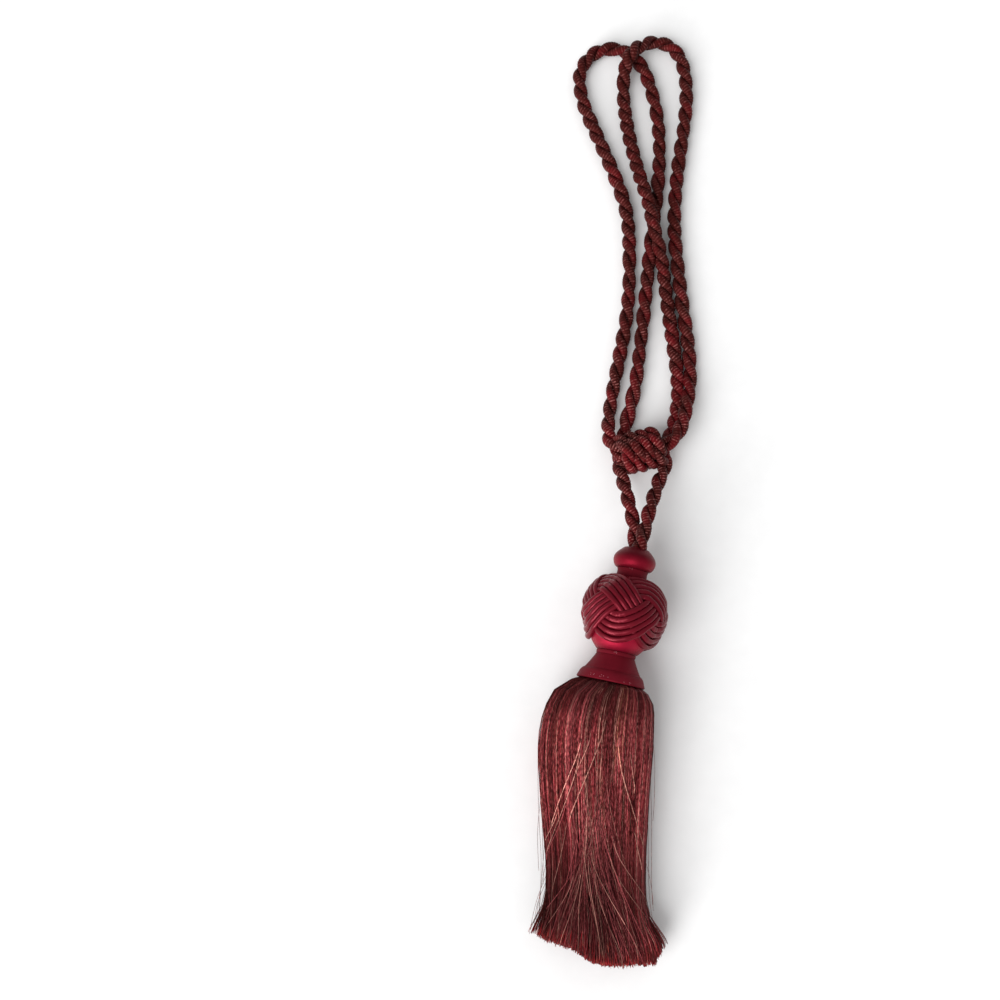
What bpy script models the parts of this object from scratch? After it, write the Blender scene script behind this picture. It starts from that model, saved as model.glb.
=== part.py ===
"""Curtain tieback with a tassel.

One twisted rope runs in two long loops, is bound by a wound knot, and its two ends go into the cap of a
turned head. The head carries a woven band of cords round its ball, and a skirt of cut threads comes out of
its collar. The whole lies on its side on a flat surface.

Units are metres, +Z up. The surface is z = 0, +Y runs from the skirt towards the loops, and the origin is the
middle of the tassel's footprint, without the rope.
"""

import math
import random
from collections import namedtuple

import bmesh
import bpy
import numpy as np
from mathutils import Euler, Vector

MM = 0.001
GAP = 0.3 * MM  # between pieces that touch
FACET_ROOM = 0.2 * MM  # more, between two faceted round skins

# The rope.
ROPE_DIAMETER = 8.0 * MM
ROPE_REST = 4.2 * MM  # the height of its middle line where it lies on the surface
LOOP_STEP = 18.0 * MM  # between the points of a loop, about two diameters
LEG_STEP = 12.5 * MM  # shorter, where the legs bend between the knot and the cap

# The head hangs on one axis, which leans clockwise and slopes down towards the skirt.
BALL_CENTRE = Vector((15.8, 86.9, 26.9)) * MM
HEAD_LEAN = math.radians(11.2)
HEAD_SLOPE = math.radians(3.5)
HEAD_TURN = Euler((HEAD_SLOPE - math.pi / 2, 0, -HEAD_LEAN))  # +Z goes to the cap, and -Y up
TURNED_SIDES = 32

# Heights along the head's axis from the ball's centre, towards the cap, and radii.
BALL_RADIUS = 24.2 * MM
BALL_FULLNESS = 4.3 * MM  # how much further the ball reaches beside its lower neck than a sphere would
FULL_FROM = math.radians(-18)  # the latitude where that fullness begins
BALL_BOTTOM = -25.2 * MM
BALL_TOP = 22.2 * MM
BALL_POINTS = 14  # of its profile
BALL_LIP = 0.6 * MM  # of the ball's lower flat, past the neck that it stands on
UPPER_NECK_TOP = 27.4 * MM
UPPER_NECK_RADIUS = 9.9 * MM
CAP_WIDEST = 33.4 * MM
CAP_TOP = 41.2 * MM
CAP_RADIUS = 13.6 * MM
CAP_BULGE = 7.1 * MM  # how deep the curve of its side would go
CAP_LIP = 0.4 * MM
CAP_HOLE_RADIUS = 9.0 * MM
CAP_HOLE_DEPTH = 9.0 * MM
CAP_HOLE_BEVEL = 0.5 * MM
LOWER_NECK_BOTTOM = -28.0 * MM
LOWER_NECK_RADIUS = 12.3 * MM
LOWER_NECK_BULGE = 0.2 * MM
COLLAR_FLARE = (0.15, 0.35, 0.6, 0.8, 1.0)  # shares of the way down to the band
COLLAR_FLARE_POWER = 1.15
COLLAR_FLARE_END = 17.2 * MM
COLLAR_BOTTOM = -45.2 * MM
COLLAR_RADIUS = 18.4 * MM
BAND_TOP = -38.0 * MM
BAND_TOP_GAP = 0.2 * MM
BAND_STEP = Vector((2.2, 0.8)) * MM  # how wide and how deep its shoulder is
BAND_SHOULDER = 0.7 * MM
BAND_BULGE_HEIGHT = 2.2 * MM
BAND_RADIUS = 21.8 * MM
RECESS_RADIUS = 15.8 * MM
RECESS_TOP = -37.6 * MM

# The woven band: three leads of five cords, plaited round the ball in five bights.
LEADS = 3
BIGHTS = 5
WEAVE_MIDDLE = math.radians(7)
WEAVE_REACH = math.radians(34)
LEAD_HALF_WIDTH = math.radians(14.8)  # of five cords side by side
FRONT_BIGHT = math.radians(2)  # the longitude of the lower bight on the upper side
CORD_THICKNESS = 2.7 * MM
EDGE_THINNING = 0.45  # share of that thickness lost at the band's two edges
CROSSING_PHASES = (60, 120)  # degrees of a lead's wave where another lead crosses it
CROSSING_RISE = 0.9 * MM
CROSSING_SPREAD = 8.0 * MM
SCALLOP = math.radians(14)  # how far the band's edges draw in between two bights
WOVEN_COLUMNS = 50
WOVEN_ROWS = 8

# The knot: a barrel of rope wound round the loops' feet.
KNOT_CENTRE = Vector((29.1, 196.2, 13.2)) * MM
KNOT_TURN = math.radians(14)
KNOT_HALF_LENGTH = 13.5 * MM
KNOT_RADIUS = 13.3 * MM
KNOT_END_RADIUS = 10.6 * MM
KNOT_GROOVE = 2.0 * MM
KNOT_PITCH = 8.3 * MM
KNOT_ROWS = 28
KNOT_SIDES = 24

# The skirt, a comb of locks round one bundle. half_width and half_height are those of an oval section whose
# middle is at x, y, middle, and what falls below the surface is laid flat on it. turn and pitch are the
# section's own lean and slope, in degrees, and the lengths are millimetres.
SkirtRow = namedtuple("SkirtRow", "x y middle half_width half_height turn pitch")
SKIRT = (
    SkirtRow(4.9, 35.6, 23.9, 29.0, 23.4, 9, 2.5),
    SkirtRow(1.9, 27.5, 22.8, 33.8, 24.4, 5, 1.0),
    SkirtRow(-0.9, 15.0, 21.6, 36.0, 24.6, 2, 0.0),
    SkirtRow(-2.5, 1.0, 20.4, 36.2, 23.8, 0, 0.0),
    SkirtRow(-3.4, -21.0, 19.2, 34.5, 22.8, 0, 0.0),
    SkirtRow(-3.6, -43.0, 18.3, 33.0, 21.9, 0, 0.0),
    SkirtRow(-3.6, -65.0, 17.4, 31.6, 21.0, 0, 0.0),
    SkirtRow(-4.2, -88.0, 16.6, 32.2, 20.0, 0, 0.0),
    SkirtRow(-4.7, -101.0, 16.0, 34.6, 19.2, 0, 0.0),
)
SKIRT_STEM_TOP = -38.4 * MM
SKIRT_TOP_RADIUS = 21.0 * MM
HEM_HALF_WIDTH = 38.6 * MM
HEM_CENTRE = -4.9 * MM
HEM_MIDDLE = 15.2 * MM
HEM_HALF_HEIGHT = 18.0 * MM
LOCKS = 20
LOCK_POINTS = 3  # two on the lock and one in the groove beside it
GROOVE_AT_TOP = 0.6 * MM
GROOVE_AT_HEM = 4.0 * MM
GROOVE_DEPTHS = (0.5, 1.3)  # shares of that depth, from the shallowest groove to the deepest
HEM_RAGGED = 2.5 * MM
HEM_NOTCH = 3.8 * MM  # how much shorter the threads in a groove are
HEM_RINGS = (1.0, 0.7, 0.4)  # shares of the section's size, from the outside in

# Where the cut ends reach, across the skirt.
HemPoint = namedtuple("HemPoint", "x y")
HEM = (
    HemPoint(-44.6, -110.0),
    HemPoint(-34.8, -114.0),
    HemPoint(-18.8, -117.5),
    HemPoint(-7.8, -125.0),
    HemPoint(1.7, -127.5),
    HemPoint(30.2, -126.5),
    HemPoint(39.2, -117.0),
)

# Colours, linear red, green and blue.
ROPE_COLOUR = (0.085, 0.014, 0.016)
SATIN_COLOUR = (0.19, 0.012, 0.028)
THREAD_COLOUR = (0.13, 0.025, 0.022)

# Routes of the rope's middle line, in millimetres, chosen where it lies.
LEFT_LEG = (
    (20.3, 120.8, 25.4),
    (21.6, 127.6, 25.8),
    (22.6, 135.0, 25.8),
    (21.7, 145.5, 24.2),
    (20.0, 159.0, 20.6),
    (16.1, 173.5, 15.0),
    (13.1, 181.0, 11.4),
    (12.2, 188.9, 8.6),
)
RIGHT_LEG = (
    (24.5, 119.6, 32.6),
    (25.9, 126.4, 33.0),
    (28.3, 134.0, 31.8),
    (31.1, 142.5, 28.4),
    (34.5, 154.5, 23.6),
    (38.7, 167.5, 18.4),
    (42.9, 178.5, 13.8),
    (48.8, 186.0, 10.6),
    (50.3, 192.5, 8.6),
)
LEFT_LOOP = (
    (12.0, 191.8, 18.2),
    (8.6, 192.8, 17.0),
    (6.5, 197.6, 12.4),
    (7.1, 205.0, 7.8),
    (9.2, 215.0, 4.9),
    (12.4, 237.0, 4.2),
    (17.3, 260.5, 4.2),
    (22.9, 293.0, 4.2),
    (26.0, 329.0, 4.2),
    (23.9, 368.0, 4.2),
    (14.9, 398.0, 4.2),
    (3.4, 425.0, 4.2),
    (-5.8, 450.0, 4.2),
    (-6.2, 471.0, 4.2),
    (2.4, 484.5, 4.2),
    (14.4, 489.0, 4.2),
    (26.9, 486.0, 4.2),
    (35.9, 475.5, 4.2),
    (42.4, 456.5, 4.2),
    (47.0, 431.0, 4.2),
    (47.7, 404.0, 4.2),
    (45.2, 373.0, 4.2),
    (39.9, 344.5, 4.2),
    (35.6, 306.0, 4.2),
    (31.6, 270.0, 4.2),
    (27.0, 241.0, 4.2),
    (22.7, 221.5, 4.6),
    (19.8, 208.0, 5.6),
)
RIGHT_LOOP = (
    (45.0, 200.5, 9.0),
    (48.2, 202.6, 9.0),
    (51.5, 208.6, 7.6),
    (54.6, 219.0, 5.4),
    (56.3, 233.0, 4.2),
    (56.0, 248.0, 4.2),
    (54.0, 273.0, 4.2),
    (51.1, 300.0, 4.2),
    (49.4, 319.0, 5.0),
    (47.1, 333.5, 8.0),
    (43.3, 345.5, 11.6),
    (40.6, 357.6, 13.4),
    (39.3, 372.0, 11.4),
    (36.0, 386.4, 8.2),
    (32.3, 401.5, 5.2),
    (27.6, 420.0, 4.2),
    (24.6, 437.0, 4.2),
    (23.8, 452.0, 4.4),
    (23.7, 463.4, 7.4),
    (24.7, 473.2, 11.5),
    (28.3, 481.2, 14.8),
    (35.7, 488.2, 10.6),
    (46.1, 493.6, 6.4),
    (56.4, 491.8, 4.2),
    (64.0, 483.5, 4.2),
    (67.5, 469.5, 4.2),
    (67.2, 449.0, 4.2),
    (64.0, 428.0, 4.2),
    (60.0, 401.0, 4.2),
    (56.8, 376.0, 4.2),
    (56.3, 355.0, 4.2),
    (58.6, 325.0, 4.2),
    (60.8, 298.0, 4.2),
    (63.4, 273.0, 4.2),
    (65.4, 251.0, 4.4),
    (64.8, 237.0, 7.4),
    (61.8, 224.0, 12.4),
    (56.7, 213.0, 16.0),
    (51.5, 205.8, 17.6),
    (48.2, 202.6, 18.0),
    (44.8, 200.7, 18.0),
)


def clear_scene():
    for old in list(bpy.data.objects):
        bpy.data.objects.remove(old, do_unlink=True)


def finish(name, colour, roughness):
    """A plain Principled material."""
    made = bpy.data.materials.new(name)
    made.use_nodes = True
    shader = made.node_tree.nodes["Principled BSDF"]
    shader.inputs["Base Color"].default_value = (*colour, 1)
    shader.inputs["Roughness"].default_value = roughness
    shader.inputs["Metallic"].default_value = 0
    return made


def add_object(name, data, material, parent=None):
    """Link an object that holds data, and give it its material."""
    made = bpy.data.objects.new(name, data)
    data.materials.append(material)
    bpy.context.collection.objects.link(made)
    made.parent = parent
    return made


def close_mesh(name, shape, sharp_degrees=40):
    """Turn a bmesh into a mesh whose faces point out."""
    bmesh.ops.remove_doubles(shape, verts=shape.verts, dist=1e-6)
    bmesh.ops.recalc_face_normals(shape, faces=shape.faces)
    mesh = bpy.data.meshes.new(name)
    shape.to_mesh(mesh)
    shape.free()
    mesh.shade_smooth()
    mesh.set_sharp_from_angle(angle=math.radians(sharp_degrees))
    return mesh


def turned(name, profile, material, parent, ring=False):
    """A solid turned about the local Z axis from (radius, height) points; a ring's profile is closed."""
    shape = bmesh.new()
    points = [shape.verts.new((radius, 0, height)) for radius, height in profile]
    ends = points[1:] + points[:1] if ring else points[1:]
    edges = [shape.edges.new(pair) for pair in zip(points, ends)]
    bmesh.ops.spin(
        shape,
        geom=points + edges,
        cent=(0, 0, 0),
        axis=(0, 0, 1),
        angle=math.tau,
        steps=TURNED_SIDES,
        use_merge=True,
    )
    return add_object(name, close_mesh(name, shape), material, parent)


def skin_rings(shape, rings):
    """Join closed rings of points, each to the next, with four-sided faces."""
    made = [[shape.verts.new(point) for point in ring] for ring in rings]
    for ring, after in zip(made, made[1:]):
        for i in range(len(ring)):
            j = (i + 1) % len(ring)
            shape.faces.new((ring[i], ring[j], after[j], after[i]))
    return made


def cap_ring(shape, ring, point):
    """Close a ring with a fan to one point."""
    middle = shape.verts.new(point)
    for i in range(len(ring)):
        shape.faces.new((ring[i], ring[(i + 1) % len(ring)], middle))


def ball_surface(latitude):
    """The ball's radius at a latitude: a sphere, fuller towards the skirt."""
    past = max(0.0, FULL_FROM - latitude) / math.radians(45)
    return BALL_RADIUS + BALL_FULLNESS * past**1.3


def head_parent():
    """The empty that carries the head."""
    head = bpy.data.objects.new("head_axis", None)
    bpy.context.collection.objects.link(head)
    head.location = BALL_CENTRE
    head.rotation_euler = HEAD_TURN
    return head


def head_point(height, right=0.0, up=0.0):
    """A world point at a height on the head's axis, moved right and up across it."""
    return BALL_CENTRE + HEAD_TURN.to_matrix() @ Vector((right, -up, height))


def ball_profile():
    """The ball from its lower flat to its upper one, where it meets the necks."""
    flat = LOWER_NECK_RADIUS + BALL_LIP
    foot = math.atan2(BALL_BOTTOM, flat)
    top = math.asin(BALL_TOP / BALL_RADIUS)
    points = [(0, BALL_BOTTOM), (flat, BALL_BOTTOM)]
    for latitude in np.linspace(foot, top, BALL_POINTS)[1:]:
        radius = ball_surface(latitude)
        points.append((radius * math.cos(latitude), radius * math.sin(latitude)))
    return points + [(0, points[-1][1])]


def cap_profile():
    """A flattened bead with a hole in its top for the rope's two ends."""
    foot = UPPER_NECK_TOP + GAP
    points = [(0, foot), (UPPER_NECK_RADIUS + CAP_LIP, foot)]
    for degrees in range(-60, 61, 15):
        angle = math.radians(degrees)
        height = CAP_TOP - CAP_WIDEST if degrees > 0 else CAP_WIDEST - foot
        radius = CAP_RADIUS - CAP_BULGE * (1 - math.cos(angle))
        points.append((radius, CAP_WIDEST + height * math.sin(angle)))
    floor = CAP_TOP - CAP_HOLE_DEPTH
    return points + [
        (CAP_HOLE_RADIUS + CAP_HOLE_BEVEL, CAP_TOP),
        (CAP_HOLE_RADIUS, CAP_TOP - CAP_HOLE_BEVEL),
        (CAP_HOLE_RADIUS, floor),
        (0, floor),
    ]


def upper_neck_profile():
    """A plain wound drum."""
    foot = BALL_TOP + GAP
    return ((0, foot), (UPPER_NECK_RADIUS, foot), (UPPER_NECK_RADIUS, UPPER_NECK_TOP), (0, UPPER_NECK_TOP))


def lower_neck_profile():
    """A low ring with a slightly round side."""
    top = BALL_BOTTOM - GAP
    middle = (LOWER_NECK_BOTTOM + top) / 2
    return (
        (0, LOWER_NECK_BOTTOM),
        (LOWER_NECK_RADIUS, LOWER_NECK_BOTTOM),
        (LOWER_NECK_RADIUS + LOWER_NECK_BULGE, middle),
        (LOWER_NECK_RADIUS, top),
        (0, top),
    )


def collar_profile():
    """A bell that flares from the lower neck, with a recess below for the skirt's stem."""
    top = LOWER_NECK_BOTTOM - GAP
    fall = BAND_TOP - top
    points = [(0, top), (LOWER_NECK_RADIUS, top)]
    for share in COLLAR_FLARE:
        flare = (COLLAR_FLARE_END - LOWER_NECK_RADIUS) * share**COLLAR_FLARE_POWER
        points.append((LOWER_NECK_RADIUS + flare, top + fall * share))
    return points + [
        (COLLAR_RADIUS, COLLAR_BOTTOM),
        (RECESS_RADIUS, COLLAR_BOTTOM),
        (RECESS_RADIUS, RECESS_TOP),
        (0, RECESS_TOP),
    ]


def band_profile():
    """The wound ring round the collar's rim, as a closed outline."""
    inner_top = COLLAR_FLARE_END + GAP
    top = BAND_TOP - BAND_TOP_GAP
    return (
        (inner_top, top),
        (inner_top + BAND_STEP.x - BAND_SHOULDER, top),
        (inner_top + BAND_STEP.x, top - BAND_STEP.y),
        (BAND_RADIUS - BAND_SHOULDER, COLLAR_BOTTOM + BAND_BULGE_HEIGHT),
        (BAND_RADIUS, COLLAR_BOTTOM + BAND_SHOULDER),
        (BAND_RADIUS - BAND_SHOULDER, COLLAR_BOTTOM),
        (COLLAR_RADIUS + GAP, COLLAR_BOTTOM),
    )


def crossings():
    """The places where one lead passes over another, as unit directions in the head's own frame."""
    found = []
    for phase in CROSSING_PHASES:
        latitude = WEAVE_MIDDLE + WEAVE_REACH * math.cos(math.radians(phase))
        for bight in range(BIGHTS):
            turn = (math.radians(phase + 180) + math.tau * bight) * LEADS / BIGHTS
            found.append(direction(FRONT_BIGHT + turn, latitude))
    return found


def direction(longitude, latitude):
    """A unit vector; longitude 0 faces up from the surface and grows to the right."""
    level = math.cos(latitude)
    return Vector((level * math.sin(longitude), -level * math.cos(longitude), math.sin(latitude)))


def woven_band(material, parent):
    """The woven cords' outer form: a scalloped shell round the ball, raised where its leads cross."""
    over = crossings()
    outer_low = WEAVE_MIDDLE - WEAVE_REACH - LEAD_HALF_WIDTH
    outer_high = WEAVE_MIDDLE + WEAVE_REACH + LEAD_HALF_WIDTH
    rings = []
    for column in range(WOVEN_COLUMNS):
        longitude = math.tau * column / WOVEN_COLUMNS
        wave = 0.5 - 0.5 * math.cos(BIGHTS * (longitude - FRONT_BIGHT))
        low = outer_low + SCALLOP * wave
        high = outer_high - SCALLOP * (1 - wave)
        outside = []
        inside = []
        for row in range(WOVEN_ROWS):
            share = row / (WOVEN_ROWS - 1)
            latitude = low + (high - low) * share
            way = direction(longitude, latitude)
            seat = ball_surface(latitude) + GAP + FACET_ROOM
            edge = 1 - EDGE_THINNING * abs(2 * share - 1) ** 6
            near = min((way - spot).length for spot in over) * BALL_RADIUS
            rise = CROSSING_RISE * math.exp(-((near / CROSSING_SPREAD) ** 2))
            point = way * (seat + CORD_THICKNESS * edge + rise)
            outside.append(laid_on_surface(point))
            inside.append(way * seat)
        rings.append(outside + inside[::-1])
    shape = bmesh.new()
    skin_rings(shape, rings + rings[:1])
    return add_object("woven_band", close_mesh("woven_band", shape, 60), material, parent)


def laid_on_surface(point):
    """A point of the head's own frame, lifted to the surface if it is below it."""
    turn = HEAD_TURN.to_matrix()
    world = BALL_CENTRE + turn @ point
    world.z = max(world.z, 0.0)
    return turn.transposed() @ (world - BALL_CENTRE)


def knot(material):
    """The wound knot: a barrel with a helical groove between its turns, flat where it lies."""
    rings = []
    for row in range(KNOT_ROWS + 1):
        share = 2 * row / KNOT_ROWS - 1
        along = KNOT_HALF_LENGTH * share
        envelope = KNOT_END_RADIUS + (KNOT_RADIUS - KNOT_END_RADIUS) * (1 - share**6)
        ring = []
        for side in range(KNOT_SIDES):
            angle = math.tau * side / KNOT_SIDES
            turns = along / KNOT_PITCH - angle / math.tau
            radius = envelope - KNOT_GROOVE * (0.5 - 0.5 * math.cos(math.tau * turns)) ** 2
            height = max(radius * math.sin(angle), -KNOT_CENTRE.z)
            ring.append((along, radius * math.cos(angle), height))
        rings.append(ring)
    shape = bmesh.new()
    made = skin_rings(shape, rings)
    cap_ring(shape, made[0][::-1], (-KNOT_HALF_LENGTH, 0, 0))
    cap_ring(shape, made[-1], (KNOT_HALF_LENGTH, 0, 0))
    barrel = add_object("knot", close_mesh("knot", shape, 60), material)
    barrel.location = KNOT_CENTRE
    barrel.rotation_euler = (0, 0, KNOT_TURN)
    return barrel


def hem_reach(x):
    """How far the cut ends reach at a place across the skirt."""
    return np.interp(x / MM, [point.x for point in HEM], [point.y for point in HEM]) * MM


def oval(middle, half_width, half_height, turn, pitch, groove, depths):
    """A section of the skirt: an oval with a groove beside each lock, flat on the surface."""
    right = Vector((math.cos(turn), -math.sin(turn), 0))
    up = Vector((-math.sin(turn) * math.sin(pitch), -math.cos(turn) * math.sin(pitch), math.cos(pitch)))
    ring = []
    for i in range(LOCKS * LOCK_POINTS):
        angle = math.tau * i / (LOCKS * LOCK_POINTS)
        lock, place = divmod(i, LOCK_POINTS)
        cut = groove * depths[lock] if place == 0 else 0.0
        point = (
            middle
            + right * (half_width - cut) * math.cos(angle)
            + up * (half_height - cut) * math.sin(angle)
        )
        point.z = max(point.z, 0.0)
        ring.append(point)
    return ring


def skirt(material):
    """The skirt: a stem in the collar, a bundle of locks, and a ragged hem of cut ends."""
    rng = random.Random(11)
    depths = [rng.uniform(*GROOVE_DEPTHS) for _ in range(LOCKS)]
    stem = RECESS_RADIUS - GAP
    top = COLLAR_BOTTOM - GAP
    rings = []
    for height, radius in ((SKIRT_STEM_TOP, stem), (top, stem), (top, SKIRT_TOP_RADIUS)):
        rings.append(oval(head_point(height), radius, radius, HEAD_LEAN, HEAD_SLOPE, 0.0, depths))
    for number, row in enumerate(SKIRT):
        groove = GROOVE_AT_TOP + (GROOVE_AT_HEM - GROOVE_AT_TOP) * number / len(SKIRT)
        middle = Vector((row.x, row.y, row.middle)) * MM
        turn, pitch = math.radians(row.turn), math.radians(row.pitch)
        rings.append(
            oval(middle, row.half_width * MM, row.half_height * MM, turn, pitch, groove, depths)
        )
    for share in HEM_RINGS:
        middle = Vector((HEM_CENTRE, 0, HEM_MIDDLE))
        width, height = HEM_HALF_WIDTH * share, HEM_HALF_HEIGHT * share
        ring = oval(middle, width, height, 0, 0, GROOVE_AT_HEM * share, depths)
        ends = [rng.uniform(-HEM_RAGGED, HEM_RAGGED) for _ in range(LOCKS)]
        for i, point in enumerate(ring):
            lock, place = divmod(i, LOCK_POINTS)
            shorter = HEM_NOTCH if place == 0 else 0.0
            point.y = hem_reach(point.x) + ends[lock] + shorter
        rings.append(ring)
    shape = bmesh.new()
    made = skin_rings(shape, rings)
    cap_ring(shape, made[0], head_point(SKIRT_STEM_TOP))
    cap_ring(shape, made[-1], Vector((HEM_CENTRE, hem_reach(HEM_CENTRE), HEM_MIDDLE)))
    return add_object("skirt", close_mesh("skirt", shape, 50), material)


def smooth_route(points, step):
    """Even steps along one smooth curve through a route's own points, nowhere below the surface."""
    route = np.array(points) * MM
    chord = np.linalg.norm(np.diff(route, axis=0), axis=1)
    along = np.concatenate([[0], np.cumsum(chord)])
    slope = np.gradient(route, along, axis=0)
    steps = np.linspace(0, along[-1], round(along[-1] / step) + 1)
    span = np.clip(np.searchsorted(along, steps) - 1, 0, len(chord) - 1)
    u = ((steps - along[span]) / chord[span])[:, None]
    reach = chord[span][:, None]
    path = (
        (2 * u**3 - 3 * u**2 + 1) * route[span]
        + (u**3 - 2 * u**2 + u) * reach * slope[span]
        + (3 * u**2 - 2 * u**3) * route[span + 1]
        + (u**3 - u**2) * reach * slope[span + 1]
    )
    path[:, 2] = np.maximum(path[:, 2], ROPE_REST)
    return path


def rope(name, route, step, material):
    """A stretch of the rope, as a plain tube along its route."""
    path = smooth_route(route, step)
    curve = bpy.data.curves.new(name, "CURVE")
    curve.dimensions = "3D"
    curve.bevel_depth = ROPE_DIAMETER / 2
    curve.bevel_resolution = 2
    curve.use_fill_caps = True
    spline = curve.splines.new("POLY")
    spline.points.add(len(path) - 1)
    for point, place in zip(spline.points, path):
        point.co = (*place, 1)
    return add_object(name, curve, material)


def build():
    clear_scene()
    rope_finish = finish("rope_yarn", ROPE_COLOUR, 0.7)
    satin = finish("satin_winding", SATIN_COLOUR, 0.45)
    threads = finish("skirt_thread", THREAD_COLOUR, 0.55)

    head = head_parent()
    turned("ball", ball_profile(), satin, head)
    turned("upper_neck", upper_neck_profile(), satin, head)
    turned("cap", cap_profile(), satin, head)
    turned("lower_neck", lower_neck_profile(), satin, head)
    turned("collar", collar_profile(), satin, head)
    turned("collar_band", band_profile(), satin, head, ring=True)
    woven_band(satin, head)
    skirt(threads)
    knot(rope_finish)
    rope("rope_leg_left", LEFT_LEG, LEG_STEP, rope_finish)
    rope("rope_leg_right", RIGHT_LEG, LEG_STEP, rope_finish)
    rope("rope_loop_left", LEFT_LOOP, LOOP_STEP, rope_finish)
    rope("rope_loop_right", RIGHT_LOOP, LOOP_STEP, rope_finish)


build()
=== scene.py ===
# %% [markdown]
# # A curtain tieback with a tassel
#
# A tieback holds a curtain open. One twisted rope runs in two long loops, a knot of the same rope binds
# them, and the rope's two ends go into the cap of a turned head. The head has a ball with a plaited band
# round it, and a skirt of cut threads hangs from its collar. Here the whole thing lies on its side.

# %% Load the frame
import math
from functools import partial

import bpy
import numpy as np
from mathutils import Euler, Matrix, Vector


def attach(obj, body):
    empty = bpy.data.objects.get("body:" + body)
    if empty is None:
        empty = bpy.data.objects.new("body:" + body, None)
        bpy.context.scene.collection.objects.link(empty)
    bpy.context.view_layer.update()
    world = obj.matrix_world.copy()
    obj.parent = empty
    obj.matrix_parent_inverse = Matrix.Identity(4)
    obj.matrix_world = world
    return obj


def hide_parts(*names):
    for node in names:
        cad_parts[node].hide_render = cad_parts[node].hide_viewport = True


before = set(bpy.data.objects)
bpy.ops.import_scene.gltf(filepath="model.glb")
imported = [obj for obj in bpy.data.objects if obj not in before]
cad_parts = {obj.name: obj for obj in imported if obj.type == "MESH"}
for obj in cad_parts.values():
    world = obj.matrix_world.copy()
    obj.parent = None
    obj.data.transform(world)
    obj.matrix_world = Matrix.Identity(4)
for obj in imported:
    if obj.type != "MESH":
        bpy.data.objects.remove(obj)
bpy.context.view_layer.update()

MM = 0.001
bpy.ops.object.select_all(action="DESELECT")
print("nodes:", sorted(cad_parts))

# %% [markdown]
# ## The camera
#
# The tieback is seen from nearly straight above, a little from the skirt's end. A lens of about 55 mm on a
# 36 mm sensor stands far enough off that the long loops don't seem to spread. The camera is made first,
# because what it doesn't see decides how much cord may lie out of view.

# %% Camera
SENSOR = 36.0
FOCAL_SHARE = 1.515  # focal length over the sensor's width
TILT = math.radians(12)  # away from straight down
CAMERA_PLACE = Vector((-62.4, -42.7, 978.2)) * MM

bpy.ops.object.camera_add(location=CAMERA_PLACE, rotation=(TILT, 0, 0))
camera = bpy.context.object
camera.data.sensor_width = SENSOR
camera.data.lens = SENSOR * FOCAL_SHARE
bpy.context.scene.camera = camera
print("lens", round(camera.data.lens, 1), "mm")

# %% [markdown]
# ## Colours and nodes
#
# Colours are chosen as sRGB hex values, the way a colour picker shows them, and Blender's sockets want
# linear ones. One function turns them, and another adds a shader node with its settings and links, so each
# material below reads as a short list.

# %% Colour and node helpers
def colour(code):
    """An sRGB hex value as linear red, green, blue and alpha."""
    parts = [int(code[i : i + 2], 16) / 255 for i in (1, 3, 5)]
    linear = [p / 12.92 if p <= 0.04045 else ((p + 0.055) / 1.055) ** 2.4 for p in parts]
    return (*linear, 1.0)


def set_inputs(node, inputs):
    """Set each input of a node to a value, or link it to another node's socket."""
    for name, value in inputs.items():
        if isinstance(value, bpy.types.NodeSocket):
            node.id_data.links.new(value, node.inputs[name])
        else:
            node.inputs[name].default_value = value


def add_node(tree, kind, inputs=None, output=0, **settings):
    """One output socket of a new node that has these settings and inputs."""
    node = tree.nodes.new("ShaderNode" + kind)
    for name, value in settings.items():
        setattr(node, name, value)
    set_inputs(node, inputs or {})
    return node.outputs[output]


def new_material(name):
    """A material, its Principled shader, and the function that adds a node to its tree."""
    made = bpy.data.materials.new(name)
    made.use_nodes = True
    return made, made.node_tree.nodes["Principled BSDF"], partial(add_node, made.node_tree)


OF_COLOURS = {"data_type": "RGBA", "output": 2}  # for a Mix node: 0 is the factor, 6 and 7 the two colours

# %% [markdown]
# ## Tubes
#
# Rope, plaited cord and thread are all long and round, and there are thousands of them. Curves with a bevel
# would make them too, but a curve can't carry a rib every 1.6 mm or a colour for each thread. So one
# function lays rings of points along the centre lines and joins them, many tubes to a mesh.

# %% Tube meshes
def unit(vectors):
    """The same vectors, each of length 1."""
    return vectors / np.linalg.norm(vectors, axis=-1, keepdims=True)


def square_to(along, vectors):
    """The same vectors, each turned square to its tube and of length 1."""
    return unit(vectors - along * (vectors * along).sum(-1, keepdims=True))


def new_piece(name, points, faces):
    """An object with these points and faces, shaded smooth."""
    mesh = bpy.data.meshes.new(name)
    mesh.from_pydata(points.reshape(-1, 3), [], faces)
    mesh.shade_smooth()
    piece = bpy.data.objects.new(name, mesh)
    bpy.context.collection.objects.link(piece)
    return piece


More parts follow.
